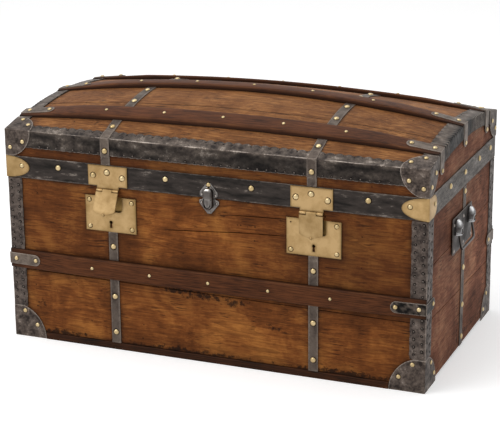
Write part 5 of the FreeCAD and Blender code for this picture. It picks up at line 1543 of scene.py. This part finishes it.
# %% Nails of the bindings
NAIL_IN, NAIL_UP = 3.2 * MM, 4 * MM
TOP_LEAN = 0.3
BINDING_NAIL = 0.85
CAP_REACH = 52 * MM
COURSE_POINTS = 12
binding_rows = Rows()
first_notch = math.ceil(CAP_REACH / SCALLOP)
notch_x = -HALF_LONG + SCALLOP * np.arange(first_notch, SCALLOPS - first_notch + 1)
for face in (-1, 1):
    y = HALF_DEEP - BINDING_TOP + NAIL_IN
    binding_rows.add([(x, face * y, dome(x, y) + PROUD) for x in notch_x], (0, face * TOP_LEAN, 1))
    y, level = HALF_DEEP + PROUD, BINDING_FLOOR + NAIL_UP
    binding_rows.add([(x, face * y, level) for x in (notch_x[0], notch_x[-1])], (0, face, 0))
SLAT_CLEAR = SLAT_WIDTH / 2 + 4 * MM
SLAT_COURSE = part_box("dome_slat_back")[0].y + SLAT_WIDTH / 2
for side in (-1, 1):
    x = HALF_LONG - END_TOP + NAIL_IN
    for start, stop in ((-SLAT_COURSE + SLAT_CLEAR, -SLAT_CLEAR), (SLAT_CLEAR, SLAT_COURSE - SLAT_CLEAR)):
        course = np.linspace(start, stop, COURSE_POINTS)
        binding_rows.add([(side * x, y, dome(x, y) + PROUD) for y in course], (0, 0, 1))
binding_nails = nailed("binding_nails", binding_rows, BINDING_NAIL, SCALLOP, 9)
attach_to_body(binding_nails, "lid")
bpy.data.objects.remove(nail_head)
print("nails:", len(edging_nails.data.vertices), "and", len(binding_nails.data.vertices), "points")

# %% [markdown]
# **The studio.** A white floor and a white world stand in for the paper that the trunk stands on. The
# world is white to the camera and to shiny metal, and gives a softer light to everything else. One wide
# lamp from the front left models the shape, and the end is left in its shade. A small lamp above it puts
# glints on the metal, and a lamp overhead lights the dome. The floor keeps the trunk's shadow.

# %% Floor, world and lamps
FLOOR_REACH = 30.0
FLOOR_DROP = 0.2 * MM
PAPER = 0.82
PAPER_GLOW = 0.42
WORLD_LIGHT = 0.55
WHITE = (1, 1, 1, 1)


def seen_directly(tree):
    """1 for what the camera, a mirror or glass shows, and 0 for the light that falls on things."""
    ray = add_node(tree, "ShaderNodeLightPath", out=None)
    seen = ray["Is Camera Ray"]
    for kind in ("Is Glossy Ray", "Is Transmission Ray"):
        seen = add_node(tree, "ShaderNodeMath", {0: seen, 1: ray[kind]}, operation="MAXIMUM")
    return seen


bpy.ops.mesh.primitive_plane_add(size=FLOOR_REACH, location=(0, 0, -FLOOR_DROP))
floor = bpy.context.object
floor.name = "studio_floor"
paper, tree, shader = new_material("white_paper")
glow = add_node(tree, "ShaderNodeMath", {0: seen_directly(tree), 1: PAPER_GLOW}, operation="MULTIPLY")
fill(tree, shader, {"Base Color": (PAPER, PAPER, PAPER, 1), "Roughness": 0.9})
fill(tree, shader, {"Emission Color": WHITE, "Emission Strength": glow})
floor.data.materials.append(paper)

world = bpy.data.worlds.new("studio_white")
bpy.context.scene.world = world
world.use_nodes = True
tree = world.node_tree
strength = add_node(
    tree, "ShaderNodeMapRange", {"Value": seen_directly(tree), "To Min": WORLD_LIGHT, "To Max": 1.0})
fill(tree, tree.nodes["Background"].inputs, {"Color": WHITE, "Strength": strength})


def soft_lamp(name, watts, size, place, target):
    lamp = bpy.data.lights.new(name, "AREA")
    lamp.energy = watts
    lamp.shape = "DISK"
    lamp.size = size
    holder = add_object(name, lamp)
    holder.location = place
    holder.rotation_euler = (Vector(target) - Vector(place)).to_track_quat("-Z", "Y").to_euler()


soft_lamp("front_left_lamp", 58, 3.4, (-1.9, -2.7, 2.6), (0, 0, 0.25))
soft_lamp("glint_lamp", 9, 0.8, (-1.1, -1.5, 3.0), (0, 0, 0.3))
soft_lamp("top_lamp", 24, 2.4, (-0.3, 0.3, 2.9), (0, 0, 0.3))
print("studio: floor, world and three lamps")

# %% [markdown]
# **The camera.** It stands to the right of the trunk's middle and a little above it, with a long lens, as
# in the photograph. Its direction is given as a turn, a tilt and a slight lean.

# %% Camera
EYE = Vector((1.17083, -2.89724, 1.19716))
TURN, TILT, LEAN = -0.3874, 0.3037, -0.0095
LENS, SENSOR = 123.49, 36
ahead = Vector((math.sin(TURN) * math.cos(TILT), math.cos(TURN) * math.cos(TILT), -math.sin(TILT)))
right = Vector((math.cos(TURN), -math.sin(TURN), 0))
up = right.cross(ahead)
leaning_right = right * math.cos(LEAN) + up * math.sin(LEAN)
leaning_up = up * math.cos(LEAN) - right * math.sin(LEAN)
lens = bpy.data.cameras.new("photo_camera")
lens.lens = LENS
lens.sensor_width = SENSOR
lens.sensor_fit = "HORIZONTAL"
camera = add_object("photo_camera", lens)
direction = Matrix((leaning_right, leaning_up, -ahead)).transposed().to_4x4()
camera.matrix_world = Matrix.Translation(EYE) @ direction
bpy.context.scene.camera = camera
bpy.context.scene.view_settings.view_transform = "Standard"
